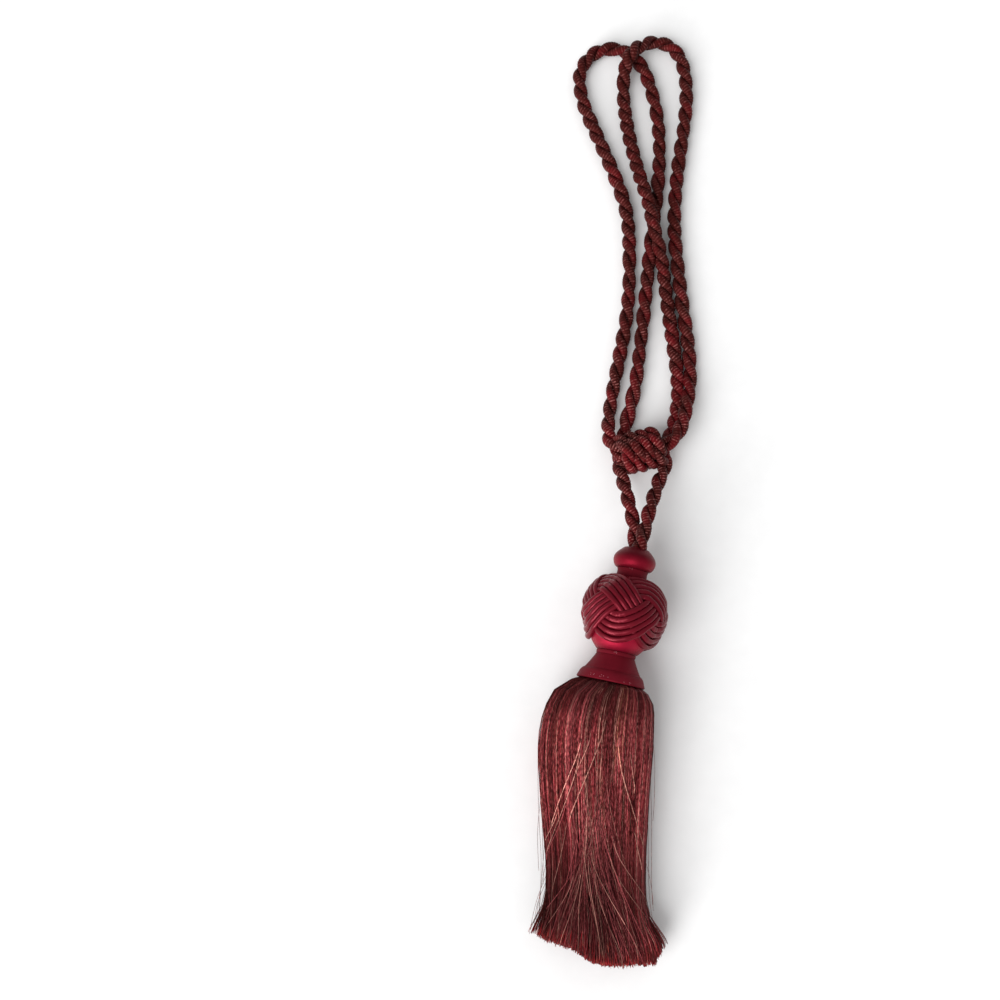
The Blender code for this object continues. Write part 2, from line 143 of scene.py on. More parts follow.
def tube_mesh(name, centres, across, up, sides, closed=False, **values):
    """One object of tubes. centres, across and up are arrays of tubes x rings x 3, and across and up are
    half-widths with across x up along the tube. Each of values holds a number or a colour for every ring."""
    tubes, rings = centres.shape[:2]
    angle = np.arange(sides) * math.tau / sides
    points = (
        centres[:, :, None]
        + across[:, :, None] * np.cos(angle)[:, None]
        + up[:, :, None] * np.sin(angle)[:, None]
    )
    index = np.arange(tubes * rings * sides).reshape(tubes, rings, sides)
    ahead = np.roll(index, -1, axis=1) if closed else index[:, 1:]
    here = index if closed else index[:, :-1]
    quads = np.stack([here, np.roll(here, -1, 2), np.roll(ahead, -1, 2), ahead], axis=-1).reshape(-1, 4)
    faces = quads.tolist()
    if not closed:
        faces += index[:, 0, ::-1].tolist() + index[:, -1].tolist()
    piece = new_piece(name, points, faces)
    for attribute, rows in values.items():
        wide = np.repeat(rows.reshape(tubes * rings, -1), sides, axis=0).astype(np.float32)
        kind, key = ("FLOAT", "value") if wide.shape[1] == 1 else ("FLOAT_COLOR", "color")
        piece.data.attributes.new(attribute, kind, "POINT").data.foreach_set(key, wide.ravel())
    return piece


# %% Paths
def run_along(path):
    """How far along a path each point lies. The first three columns are its place."""
    return np.concatenate([[0], np.cumsum(np.linalg.norm(np.diff(path[:, :3], axis=0), axis=1))])


def even_steps(curve, step):
    """The same curve, in steps of even length close to step."""
    run = run_along(curve)
    at = np.linspace(0, run[-1], max(2, round(run[-1] / step) + 1))
    return np.stack([np.interp(at, run, column) for column in curve.T], axis=1)


def smooth_route(points, step):
    """A smooth curve through points, in even steps of its own length. The points are rows of any width."""
    points = np.array(points, float)
    along = run_along(points)
    chord = np.diff(along)
    slope = np.gradient(points, along, axis=0)
    fine = np.linspace(0, along[-1], 8 * len(points) + round(2 * along[-1] / step))
    span = np.clip(np.searchsorted(along, fine) - 1, 0, len(chord) - 1)
    u = ((fine - along[span]) / chord[span])[:, None]
    reach = chord[span][:, None]
    curve = (
        (2 * u**3 - 3 * u**2 + 1) * points[span]
        + (u**3 - 2 * u**2 + u) * reach * slope[span]
        + (3 * u**2 - 2 * u**3) * points[span + 1]
        + (u**3 - u**2) * reach * slope[span + 1]
    )
    return even_steps(curve, step)


# %% [markdown]
# ## The rope
#
# The rope is two plies twisted together, and each ply is a soft core wrapped closely in fine yarn, which
# rope makers call gimp. The wrapping gives it a rib every 1.6 mm, across the ply and not across the rope.
# A texture on a plain tube would slide off where the rope bends, so the plies are modelled: each follows
# a helix round the rope's middle line, with an oval section and a ring of points for every step of a rib.
# The twist runs down to the right, as in the middle of an S. Handling works it along the rope, so one arm
# of a loop is wound tighter than the next, and each rope has a table of the length of one turn. Soft plies
# press each other flat, so the oval is wider round the rope than it is deep. The rope is 8 mm thick on
# average, 9.6 mm over both plies.

# %% Rope making
ROPE_REST = 5.15 * MM  # the height of the middle line where the rope lies on the surface
PLY_OFFSET = 2.45 * MM  # from the rope's middle line to the ply's
PLY_DEPTH = 2.4 * MM  # half of the ply's section, towards the rope's middle line
PLY_WIDTH = 2.95 * MM  # half of it, round the rope
PLY_SIDES = 12
RIB_PITCH = 1.6 * MM
RIB_RINGS = 4
RIB_RELIEF = np.array([-0.14, 0.03, 0.10, 0.03]) * MM  # from one groove of the wrapping to the next
# where on its rib each ring lies: at 1 the material paints the crest's highlight, at 0 the groove's shade
RIB_LIGHT = np.array([0.0, 0.7, 1.0, 0.7])
LEAST_RELIEF, MORE_RELIEF = 0.6, 0.8  # shares of it: the flattest rib's, and what the highest has more
UNEVEN_EVERY = 20 * MM  # between two places where the twist and the thickness change
UNEVEN_TURN = 0.28  # radians
UNEVEN_SIZE = 0.035  # as a share of the thickness
LEAST_SIZE, MOST_SIZE = 0.93, 1.04


def make_rope(name, path, twist, reference, seed, turn_at_start=0.0, squeeze=1.0):
    """A stretch of two-ply rope along a fine path. Each row of twist is a share of the length and the
    millimetres of one whole turn there, and reference is a direction that the path never follows."""
    rng = np.random.default_rng(seed)
    tangent = unit(np.gradient(path, axis=0))
    side = unit(np.cross(reference, tangent))
    up = np.cross(tangent, side)
    run = run_along(path)
    places = np.arange(-UNEVEN_EVERY, run[-1] + 2 * UNEVEN_EVERY, UNEVEN_EVERY)
    unevenly = np.interp(run, places, rng.normal(0, UNEVEN_TURN, len(places)))
    turn_length = np.interp(run / run[-1], *np.transpose(twist)) * MM
    turn = turn_at_start - math.tau * np.cumsum(np.gradient(run) / turn_length) + unevenly
    sizes = np.clip(rng.normal(1, UNEVEN_SIZE, len(places)), LEAST_SIZE, MOST_SIZE)
    swollen = squeeze * np.interp(run, places, sizes)
    stretch = np.sqrt(1 + (math.tau * PLY_OFFSET / turn_length) ** 2)
    ribs = round(float((np.gradient(run) * stretch).sum()) / RIB_PITCH)
    rows = []
    for start in (0.0, math.pi):
        outward = side * np.cos(turn + start)[:, None] + up * np.sin(turn + start)[:, None]
        ply = np.hstack([path + PLY_OFFSET * swollen[:, None] * outward, outward, swollen[:, None]])
        rows.append(even_steps(ply, run_along(ply)[-1] / (ribs * RIB_RINGS)))
    ply = np.stack(rows)
    centres, outward, thick = ply[:, :, :3], unit(ply[:, :, 3:6]), ply[:, :, 6:]
    along = unit(np.gradient(centres, axis=1))
    rings = centres.shape[1]
    each_rib = np.repeat(rng.random((2, ribs + 1)), RIB_RINGS, axis=1)[:, :rings]
    relief = LEAST_RELIEF + MORE_RELIEF * each_rib[..., None]
    swell = np.tile(RIB_RELIEF, ribs + 1)[:rings][None, :, None] * relief
    light = np.broadcast_to(np.tile(RIB_LIGHT, ribs + 1)[:rings], centres.shape[:2])
    across = outward * (PLY_DEPTH * thick + swell)
    up = np.cross(along, outward) * (PLY_WIDTH * thick + swell)
    return tube_mesh(name, centres, across, up, PLY_SIDES, rib=light, strand=each_rib)


# %% [markdown]
# ## Where the rope lies
#
# The routes are the rope's middle line, point by point, in millimetres. Each is the line that the tieback's
# construction gives: from the cap two legs go to the knot, and out of the knot come two loops, which lie
# side by side and cross in long low humps. The last points of each lie inside the knot, out of sight. A
# point without a height lies on the surface. The heights suit an even tube of 8 mm, so they are raised a
# little for two plies.

# %% Routes
LEFT_LEG = (
    (20.2, 112.6, 27.2), (21.4, 120.5, 25.4), (23, 127.4, 25), (24, 135, 25.2), (23, 145.8, 24),
    (20.7, 159.1, 20.6), (18, 173.5, 15), (16.4, 181.5, 11.6), (16, 188.6, 9.4), (18.5, 194.5, 9.2),
)
RIGHT_LEG = (
    (22.9, 112, 31.6), (24.4, 119.6, 32.8), (25.6, 126.3, 33.4), (27.8, 133.9, 32), (30.4, 142.4, 28.6),
    (33.9, 154.4, 23.8), (38.4, 167.4, 18.4), (42.3, 177.6, 14), (45.5, 185, 11), (46.6, 191.4, 9.2),
    (43.5, 197.6, 8.8),
)
LEFT_LOOP = (
    (30.5, 191.6, 11.6), (23.4, 191.4, 12.6), (17.4, 193.2, 13.2), (12.8, 196.8, 13), (10, 202.2, 11.4),
    (9, 209.4, 8.2), (9.6, 218, 5.4), (12.5, 237), (17.3, 260.5), (23.2, 293), (25.5, 329), (23.6, 367.9),
    (14.3, 397.7), (3.4, 425), (-5.4, 450), (-6.2, 470.5), (2.8, 483.4), (14.6, 487.5), (26.4, 484.6),
    (35.9, 475), (42.7, 456.5), (47.1, 431), (47.4, 404), (44.5, 373), (40.4, 344.5), (36.1, 306),
    (31.7, 270), (27.6, 241), (22.8, 221.5, 4.6), (19.4, 208, 5.6), (18.8, 199.5, 8),
)
RIGHT_LOOP = (
    (38, 196.6, 10.4), (44.4, 199, 9), (47.6, 202.6, 8.6), (50.6, 208.8, 7.2), (53.8, 219.2, 5.2),
    (56, 233), (56, 248), (53.6, 273), (50.5, 300), (48.6, 319, 5), (46.6, 333.5, 8), (43.4, 345.5, 11.6),
    (40.4, 357.6, 13.4), (38.2, 371.8, 11.4), (34.5, 386, 8.2), (31.2, 401.1, 5.2), (27.2, 419.9),
    (24.6, 437), (23.5, 452, 4.4), (23.6, 463, 7.4), (25.2, 472.4, 11.5), (29.4, 480.2, 14.4),
    (36.6, 486.8, 10.4), (46.1, 491.6, 6.4), (55.7, 490), (62.7, 482.4), (66.4, 469.3), (67.2, 449),
    (64.9, 427.9), (60.6, 400.9), (57.7, 375.9), (56.6, 355), (58.2, 325), (60.7, 298), (63.6, 273),
    (64.6, 251, 4.4), (63.1, 237, 7.4), (60.4, 224.4, 12.2), (57.2, 213, 15.8), (53.8, 205.4, 17.2),
    (49.6, 200.4, 17.6), (44.6, 197.6, 17.2), (38, 196.4, 15.6),
)
TUBE_REST = 4.2  # millimetres, the height of a route's point that gives none
ROPE_LIFT = 0.6 * MM
FINE_STEP = 0.4 * MM
EASING = 12  # steps, to each side of a corner


def rope_path(route):
    """A route in metres and fine steps, with its corners eased, nowhere lower than the rope can lie."""
    path = smooth_route(np.array([(*point, TUBE_REST)[:3] for point in route]) * MM, FINE_STEP)
    path[:, 2] = np.maximum(path[:, 2] + ROPE_LIFT, ROPE_REST)
    longer = np.pad(path, ((EASING, EASING), (0, 0)), mode="edge")
    window = 2 * EASING + 1
    eased = sum(longer[shift : shift + len(path)] for shift in range(window)) / window
    return even_steps(eased, FINE_STEP)


# %% The loops and the legs
# Each row of a twist: share of the rope's length, and the length of one whole turn there in millimetres
LEG_TWIST = ((0.0, 25.5),)
LEFT_LOOP_TWIST = ((0.0, 25.5), (0.27, 25.5), (0.42, 22.5), (0.58, 24.5), (0.76, 28.0), (1.0, 28.4))
RIGHT_LOOP_TWIST = ((0.0, 20.8), (0.44, 20.8), (0.60, 24.0), (0.82, 26.6), (1.0, 26.6))
ROPES = {
    # the route, the twist, the seed, and how far the plies are turned at the start, in radians
    "loop_left": (LEFT_LOOP, LEFT_LOOP_TWIST, 3, 0.0),
    "loop_right": (RIGHT_LOOP, RIGHT_LOOP_TWIST, 4, 1.2),
    "leg_left": (LEFT_LEG, LEG_TWIST, 5, 2.4),
    "leg_right": (RIGHT_LEG, LEG_TWIST, 6, 0.6),
}
UPWARD = np.array((0.0, 0.0, 1.0))
paths, ropes = {}, {}
for name, (route, twist, seed, turn) in ROPES.items():
    paths[name] = rope_path(route)
    ropes[name] = make_rope("twisted_" + name, paths[name], twist, UPWARD, seed, turn)
    print(name, round(run_along(paths[name])[-1] / MM), "mm,", len(ropes[name].data.polygons), "faces")

# %% [markdown]
# ## The knot
#
# The rope is wound round the feet of the loops in close turns, and the free end is pulled back through
# them. The turns are the same rope, so they are made by the same function, along a helix round the knot's
# own axis. They are pulled so tight that they press into each other, and one turn of the winding is five
# lobes of the rope long, so the plies of neighbouring turns line up and seem to cross the whole knot at
# almost 45 degrees. The helix starts and ends underneath, where it dives into the middle.

# %% Knot
KNOT_CENTRE = np.array((29.6, 194.8, 14.4)) * MM
KNOT_TURN = math.radians(14)
KNOT_WRAPS = 4
KNOT_PITCH = 6.9 * MM
KNOT_RADIUS = 9.8 * MM  # of the rope's middle line
KNOT_SQUEEZE = 0.95
LOBES = 5
KNOT_TWIST = ((0.0, 2 * math.tau * KNOT_RADIUS / MM / LOBES),)
DIVE = 0.14  # turns, at each end, in which the rope leaves the middle
DIVE_DEPTH = 0.75  # of the radius


def knot_path():
    """The rope's middle line in the knot, and the knot's axis."""
    turns = np.linspace(-DIVE, KNOT_WRAPS + DIVE, 2000)
    axis = np.array((math.cos(KNOT_TURN), math.sin(KNOT_TURN), 0.0))
    level = np.array((-math.sin(KNOT_TURN), math.cos(KNOT_TURN), 0.0))
    angle = math.tau * (turns - 0.25)
    inside = np.clip(-turns, 0, None) + np.clip(turns - KNOT_WRAPS, 0, None)
    radius = KNOT_RADIUS * (1 - DIVE_DEPTH * inside / DIVE)
    path = (
        KNOT_CENTRE
        + axis * (KNOT_PITCH * np.clip(turns - KNOT_WRAPS / 2, -KNOT_WRAPS / 2, KNOT_WRAPS / 2))[:, None]
        + level * (radius * np.cos(angle))[:, None]
        + UPWARD * (radius * np.sin(angle))[:, None]
    )
    path[:, 2] = np.maximum(path[:, 2], ROPE_REST)
    return even_steps(path, FINE_STEP), axis


wraps_path, knot_axis = knot_path()
knot_wraps = make_rope("knot_wraps", wraps_path, KNOT_TWIST, knot_axis, 7, 0.9, KNOT_SQUEEZE)
print("rope in the knot:", round(run_along(wraps_path)[-1] / MM), "mm")

# %% [markdown]
# ## What the rope is covered with
#
# Gimp yarn is viscose: wine red, browner in patches. On top of each turn of the wrapping a pale line is
# painted in as a highlight, for the yarn's silky shine, and between two turns a dark line is painted in as
# shade. The mesh carries both as numbers: how high a point lies on its rib, and a random number for each
# turn of the yarn, which sets how high the turn stands and how strongly its painted highlight shows. On
# the loops the body is browner and the painted highlight weaker than on the knot and the legs, so the
# material changes along the rope.

# %% Rope material
def gimp_yarn():
    """Viscose gimp: wine red, browner in patches, with a pale line painted on the crest of each turn of
    yarn as a highlight, and a dark line painted between two turns as shade.
    """
    made, shader, node = new_material("viscose_gimp_wrapped")
    where = node("TexCoord", output="Object")
    rib = node("Attribute", output="Fac", attribute_name="rib")
    strand = node("Attribute", output="Fac", attribute_name="strand")
    patch = node("TexNoise", {"Vector": where, "Scale": 75.0, "Detail": 3.0})
    along = node("SeparateXYZ", {"Vector": where}, "Y")
    duller = node("MapRange", {"Value": along, "From Min": 0.21, "From Max": 0.34})
    browner = node("Math", {0: duller, 1: 0.13, 2: patch}, operation="MULTIPLY_ADD")
    patches = node("MapRange", {"Value": browner, "From Min": 0.36, "From Max": 0.60})
    body = node("Mix", {0: patches, 6: colour("#611117"), 7: colour("#3c1210")}, **OF_COLOURS)
    # A pale line painted on the crest of each rib, in flecks, stronger on some turns and weaker on the
    # loops: a painted highlight.
    crest = node("MapRange", {"Value": rib, "From Min": 0.68, "From Max": 1.0})
    fleck = node("TexNoise", {"Vector": where, "Scale": 700.0, "Detail": 1.0})
    flecks = node("MapRange", {"Value": fleck, "From Min": 0.42, "From Max": 0.60})
    often = node("MapRange", {"Value": strand, "To Min": 0.1, "To Max": 1.0})
    painted_sheen_share = node("MapRange", {"Value": duller, "To Min": 1.0, "To Max": 0.45})
    pale = crest
    for part in (flecks, often, painted_sheen_share):
        pale = node("Math", {0: pale, 1: part}, operation="MULTIPLY")
    crest_painted_highlight = node("Mix", {0: pale, 6: body, 7: colour("#ad6f6b")}, **OF_COLOURS)
    # A dark line painted in the groove between two turns of the yarn: painted shade.
    groove_shade_factor = node("MapRange", {"Value": rib, "From Min": -0.45, "From Max": 0.6})
    groove_painted_shade = node("Mix", {0: groove_shade_factor, 6: colour("#200507"), 7: crest_painted_highlight}, **OF_COLOURS)
    fibre = node("TexNoise", {"Vector": where, "Scale": 2600.0, "Detail": 2.0})
    bump = node("Bump", {"Height": fibre, "Strength": 0.25, "Distance": 0.1 * MM})
    set_inputs(shader, {"Base Color": groove_painted_shade, "Normal": bump, "Roughness": 0.45})
    set_inputs(shader, {"Specular IOR Level": 0.09, "Specular Tint": colour("#ff9a90")})
    return made


gimp = gimp_yarn()
for piece in (*ropes.values(), knot_wraps):
    piece.data.materials.append(gimp)

# %% [markdown]
# ## The turned head
#
# Under the thread, the head is turned wood: a cap, a neck, a ball, a second neck and a bell-shaped collar.
# A turned form is made here as a turner would draw it: a circle at the foot, raised ring by ring to the
# next height and drawn in or out to the next radius. It is made upright at the origin, and then laid at the
# head's place, leaning a little and sloping towards the skirt.

# %% Turned forms
HEAD_CENTRE = Vector((16.2, 86.9, 26.9)) * MM  # the middle of the ball
HEAD_TURN = Euler((math.radians(3.5) - math.pi / 2, 0, -math.radians(12.0)))  # +Z goes to the cap
HEAD_AXES = np.array(HEAD_TURN.to_matrix()).T
TURNED_SIDES = 96
SHARP_EDGE = math.radians(35)


def turned(name, profile):
    """A closed form from (radius, height) rings in millimetres, raised from its foot and laid in place."""
    radius, height = profile[0]
    bpy.ops.object.select_all(action="DESELECT")
    bpy.ops.mesh.primitive_circle_add(
        vertices=TURNED_SIDES, radius=radius * MM, fill_type="NGON", location=(0, 0, height * MM)
    )
    piece = bpy.context.object
    piece.name = piece.data.name = name
    bpy.ops.object.transform_apply(location=True)
    bpy.ops.object.mode_set(mode="EDIT")
    for next_radius, next_height in profile[1:]:
        rise = (next_height - height) * MM
        bpy.ops.mesh.extrude_region_move(TRANSFORM_OT_translate={"value": (0, 0, rise)})
        share = next_radius / radius
        bpy.ops.transform.resize(value=(share, share, 1), center_override=(0, 0, next_height * MM))
        radius, height = next_radius, next_height
    bpy.ops.mesh.select_all(action="SELECT")
    bpy.ops.mesh.normals_make_consistent(inside=False)
    bpy.ops.object.mode_set(mode="OBJECT")
    bpy.ops.object.shade_smooth_by_angle(angle=SHARP_EDGE)
    piece.location = HEAD_CENTRE
    piece.rotation_euler = HEAD_TURN
    bpy.ops.object.transform_apply(location=True, rotation=True, scale=False)
    print(name, [round(side / MM, 1) for side in piece.dimensions], "mm")
    return piece


BALL_RADIUS = 23.1  # millimetres
BALL_FOOT, BALL_TOP = math.radians(-63), math.radians(66.5)
FULLER_BELOW = math.radians(-18)
FULLNESS = 5.4  # millimetres, 45 degrees below that


def ball_radius(latitude):
    """The ball's radius in millimetres: a sphere, fuller towards its lower neck."""
    past = np.clip(FULLER_BELOW - latitude, 0, None) / math.radians(45)
    return BALL_RADIUS + FULLNESS * past**1.2


# %% Make the head
latitudes = np.linspace(BALL_FOOT, BALL_TOP, 40)
PROFILES = {
    # radius and height of each ring, in millimetres from the middle of the ball
    "ball": [(ball_radius(at) * math.cos(at), ball_radius(at) * math.sin(at)) for at in latitudes],
    "upper_neck": (
        (9.2, 20.6), (9.9, 22), (9.7, 23.6), (9.5, 24.8), (9.6, 26.2), (9.9, 27), (9.6, 27.6),
    ),
    "cap": (
        (9.6, 27.7), (11, 27.8), (11.9, 28.4), (12.7, 29.7), (13.3, 31.3), (13.55, 32.9), (13.4, 34.4),
        (12.8, 35.9), (11.8, 37.3), (10.5, 38.7), (9.2, 39.9), (8.2, 40.8), (7.7, 41.1), (7.3, 40.7),
        (7, 34),
    ),
    "lower_neck": (
        (12, -28.2), (12.35, -27.9), (12.5, -27.2), (12.5, -26.3), (12.3, -25.7), (11.8, -25.4),
    ),
    "collar": (
        (17.9, -44.8), (18.4, -42), (18.2, -39.2), (17.6, -37.8), (16.6, -36.2), (15.3, -34.1),
        (14.1, -31.9), (13, -29.8), (12.5, -28.7), (12.2, -28.25),
    ),
    "collar_band": (
        (20.6, -45.2), (21.5, -45), (21.75, -44.5), (21.3, -43.2), (20.7, -41.6), (20.1, -40.2),
        (19.5, -39.4), (19, -38.9), (18.4, -38.4), (17.8, -38), (17.2, -37.7),
    ),
}
head = {}
for form, profile in PROFILES.items():
    cover = "satin" if form in ("ball", "cap") else "wound"
    head[form] = turned(f"{form}_{cover}", profile)

# %% [markdown]
# ## Thread wound on wood
#
# The maker covers the wood with hundreds of turns of fine rayon. On the ball and the cap the thread runs
# lengthwise, through the hole and back. The light draws a bright bar across it. Towards the cap's hole and
# just above the lower neck the colour is darkened to almost black: painted shade. On the necks and the
# collar it is wound round and round, pressed closer, and looks matte. A thread is about 0.4 mm thick, too
# fine to show at this size, so it is drawn a little coarser. Both patterns need to know where the head's
# axis is, so a Mapping node brings the object's coordinates back to it.

# %% Thread materials
THREAD_SHOWN = 0.6 * MM
WAVE_PERIOD = math.pi / 10  # of Blender's wave texture at scale 1


def head_coordinates(node):
    """Object coordinates, moved and turned so that Z runs along the head's axis."""
    where = node("TexCoord", output="Object")
    to_head = {"Vector": where, "Location": HEAD_CENTRE, "Rotation": HEAD_TURN}
    return node("Mapping", to_head, vector_type="TEXTURE")


def lengthwise_satin(name, radius, deep, bright, painted_dark_height, spread):
    """Rayon laid along the form: fine ridges that run to the poles, and a sheen in the thread's own colour.
    The last two arguments are heights on the axis: at the first the colour is darkened most, as painted
    shade, and from the second on it is not darkened."""
    made, shader, node = new_material(name)
    where = head_coordinates(node)
    around = node("TexGradient", {"Vector": where}, "Fac", gradient_type="RADIAL")
    threads = round(math.tau * radius / THREAD_SHOWN)
    turns = node("Math", {0: around, 1: math.tau * threads}, operation="MULTIPLY")
    ridge = node("Math", {0: turns}, operation="SINE")
    streak = node("TexNoise", {"Vector": where, "Scale": 140.0, "Detail": 3.0})
    dye = node("Mix", {0: streak, 6: colour(deep), 7: colour(bright)}, **OF_COLOURS)
    # Towards the first of those heights the colour is darkened, down to 0.4: painted shade.
    height = node("SeparateXYZ", {"Vector": where}, "Z")
    painted_shade_scale = node("MapRange", {"Value": height, "From Min": painted_dark_height, "From Max": spread, "To Min": 0.40})
    colour_with_painted_shade = node("VectorMath", {0: dye, "Scale": painted_shade_scale}, operation="SCALE")
    relief = node("Math", {0: ridge, 1: streak}, operation="ADD")
    bump = node("Bump", {"Height": relief, "Strength": 0.25, "Distance": 0.06 * MM})
    set_inputs(shader, {"Base Color": colour_with_painted_shade, "Normal": bump, "Metallic": 0.25, "Roughness": 0.36})
    set_inputs(shader, {"Specular IOR Level": 0.3, "Specular Tint": colour("#ff5070")})
    return made


def crosswise_winding():
    """Rayon wound round and round: matte dark wine, with level ridges and faint lighter turns."""
    made, shader, node = new_material("rayon_wound_close")
    where = head_coordinates(node)
    turns = {"Vector": where, "Scale": WAVE_PERIOD / THREAD_SHOWN, "Distortion": 0.6, "Detail": 2.0}
    ridge = node("TexWave", turns, "Fac", wave_type="BANDS", bands_direction="Z")
    patch = node("TexNoise", {"Vector": where, "Scale": 160.0, "Detail": 4.0})
    dye = node("Mix", {0: patch, 6: colour("#5c101b"), 7: colour("#721624")}, **OF_COLOURS)
    bump = node("Bump", {"Height": ridge, "Strength": 0.35, "Distance": 0.08 * MM})
    set_inputs(shader, {"Base Color": dye, "Normal": bump, "Roughness": 0.62})
    set_inputs(shader, {"Specular IOR Level": 0.15, "Specular Tint": colour("#ff8090")})
    return made


ball_satin = lengthwise_satin(
    "rayon_satin_on_the_ball", BALL_RADIUS * MM, "#7b0e24", "#991831", -26.2 * MM, -22.2 * MM
)
cap_satin = lengthwise_satin("rayon_satin_on_the_cap", 13.5 * MM, "#6a0c1c", "#88182a", 36.2 * MM, 31.2 * MM)
winding = crosswise_winding()
for form, piece in head.items():
    piece.data.materials.append({"ball": ball_satin, "cap": cap_satin}.get(form, winding))

# %% [markdown]
# ## The woven band
#
# Round the ball goes a flat plait that sailors call a Turk's head. One bundle of five satin-covered cords
# runs three times round the ball and touches each edge of the band five times, and where it meets itself
# it goes over and under in turn. So the bundle is one closed wave in latitude, and each cord is that wave
# moved sideways on the ball. The cords rise by half their thickness where their bundle passes over, since
# soft cords press into each other.

# %% Woven band
LEADS = 3
BIGHTS = 5
WEAVE_MIDDLE = math.radians(7)
WEAVE_REACH = math.radians(34)
FRONT_BIGHT = math.radians(-14)
CORDS = 5
BAND_RADIUS = 25.0  # of the cords' middle lines; millimetres, as are the next seven
CORD_SPACING = 3.3  # where the bundle runs straight
BIGHT_SPREAD = 0.65  # how much further apart the cords lie in a bight
CORD_HALF_HEIGHT = 1.5
OFF_THE_BALL = 0.1
CROSSING_RISE = 1.5
CROSSING_RAMP = 3.2
SAG = 0.12
CORD_HALF_WIDTH = 0.51  # as a share of the spacing
PLUMPNESS = 0.06  # how much the cords' thickness varies, as a share
WEAVE_POINTS = 600
CORD_SIDES = 14
NEARBY = math.radians(50)  # of the bundle's wave, in which it can't meet itself


def on_ball(longitude, latitude):
    """Directions from the ball's middle; longitude 0 faces up, and latitude 90 faces the cap."""
    level = np.cos(latitude)
    return np.stack([level * np.sin(longitude), -level * np.cos(longitude), np.sin(latitude)], axis=-1)


def ramp(value, start, end):
    """0 up to start, 1 from end on, and a smooth rise between."""
    share = np.clip((value - start) / (end - start), 0, 1)
    return share * share * (3 - 2 * share)


def rolling_mean(values, width):
    """Mean of each value of a closed row and its neighbours."""
    return sum(np.roll(values, shift) for shift in range(-width, width + 1)) / (2 * width + 1)


def in_place(points):
    """Points in millimetres on the head's own axes, as points of the scene."""
    return points * MM @ HEAD_AXES + np.array(HEAD_CENTRE)


def woven_cords():
    """The cords of the bundle, each a closed tube."""
    rng = np.random.default_rng(21)
    wave = np.linspace(0, math.tau * BIGHTS, WEAVE_POINTS, endpoint=False)
    longitude = FRONT_BIGHT + (wave - math.pi) * LEADS / BIGHTS
    bundle = on_ball(longitude, WEAVE_MIDDLE + WEAVE_REACH * np.cos(wave))
    sideways = unit(np.cross(bundle, np.roll(bundle, -1, axis=0) - np.roll(bundle, 1, axis=0)))
    apart = np.abs(wave[:, None] - wave[None, :])
    apart = np.minimum(apart, math.tau * BIGHTS - apart)
    half_bundle = CORDS * CORD_SPACING / 2
    cords = []
    for cord in range(CORDS):
        spacing = CORD_SPACING + BIGHT_SPREAD * np.cos(wave) ** 2
        offset = ((cord - (CORDS - 1) / 2) * spacing / BAND_RADIUS)[:, None]
        way = unit(bundle * np.cos(offset) + sideways * np.sin(offset))
        meeting = np.where(apart > NEARBY, way @ bundle.T, -1.0).max(axis=1)
        distance = BAND_RADIUS * np.arccos(np.clip(meeting, -1, 1))
        covered = 1 - ramp(distance, half_bundle, half_bundle + CROSSING_RAMP)
        rise = rolling_mean(np.where(np.sin(2 * wave) > 0, CROSSING_RISE * covered, 0.0), 4)
        sag = rolling_mean(rng.normal(0, SAG, WEAVE_POINTS), 2)
        surface = ball_radius(np.arcsin(way[:, 2])) + OFF_THE_BALL + CORD_HALF_HEIGHT + rise + sag
        world = in_place(way * surface[:, None])
        world[:, 2] = np.maximum(world[:, 2], CORD_HALF_HEIGHT * MM)
        along = unit(np.roll(world, -1, axis=0) - np.roll(world, 1, axis=0))
        outward = square_to(along, way @ HEAD_AXES)
        plump = 1 + rolling_mean(rng.normal(0, PLUMPNESS, WEAVE_POINTS), 1)[:, None]
        across = np.cross(outward, along) * (CORD_HALF_WIDTH * spacing * MM)[:, None] * plump
        cords.append((world, across, outward * CORD_HALF_HEIGHT * MM * plump))
    return tube_mesh("woven_band_cords", *np.stack(cords, axis=1), CORD_SIDES, closed=True)


woven_band = woven_cords()
print("woven band:", len(woven_band.data.polygons), "faces")

# %% Woven band material
def satin_cord():
    """Satin-covered cord: the same crimson, a little greyer, with the fine cross ribs of its cover."""
    made, shader, node = new_material("rayon_satin_cord")
    where = node("TexCoord", output="Object")
    rib = node("TexNoise", {"Vector": where, "Scale": 900.0, "Detail": 2.0})
    patch = node("TexNoise", {"Vector": where, "Scale": 60.0, "Detail": 3.0})
    dye = node("Mix", {0: patch, 6: colour("#560b17"), 7: colour("#6a111f")}, **OF_COLOURS)
    bump = node("Bump", {"Height": rib, "Strength": 0.3, "Distance": 0.08 * MM})
    set_inputs(shader, {"Base Color": dye, "Normal": bump, "Metallic": 0.22, "Roughness": 0.26})
    set_inputs(shader, {"Specular IOR Level": 0.30, "Specular Tint": colour("#ffa0ae")})
    return made


woven_band.data.materials.append(satin_cord())

# %% [markdown]
# ## Loose fibres
#
# Here and there a filament of the winding has snapped, and its curl stands off the surface. It is coloured
# pale pink, a painted highlight for the light that the curl catches, so it shows as a light speck. Most are
# on the collar's band, where the thread turns over the edge. They are tiny arcs, 0.6 mm long, and each
# cluster stands at a longitude and a height on the head.

# %% Loose fibres on the head
FIBRES = (
    # longitude in degrees, height and radius of the surface in millimetres, and how many
    (-39, -43.0, 21.2, 7),
    (-14, -43.0, 21.2, 6),
    (30, -43.9, 21.5, 4),
    (-3, -26.9, 12.5, 5),
    (-8, 26.8, 9.8, 3),
)
FIBRE_HALF_LENGTH = 0.28  # millimetres, as are the next two
FIBRE_STANDS_OFF = 0.25
FIBRE_RADIUS = 0.11
FIBRE_SCATTER = (5.0, 0.5)  # in a cluster: degrees round the head, and millimetres along it
FIBRE_SLANT = 1.4  # radians, the most to either side
FIBRE_CURL = 2.5  # how far its line bends down 1 mm from its middle, in millimetres


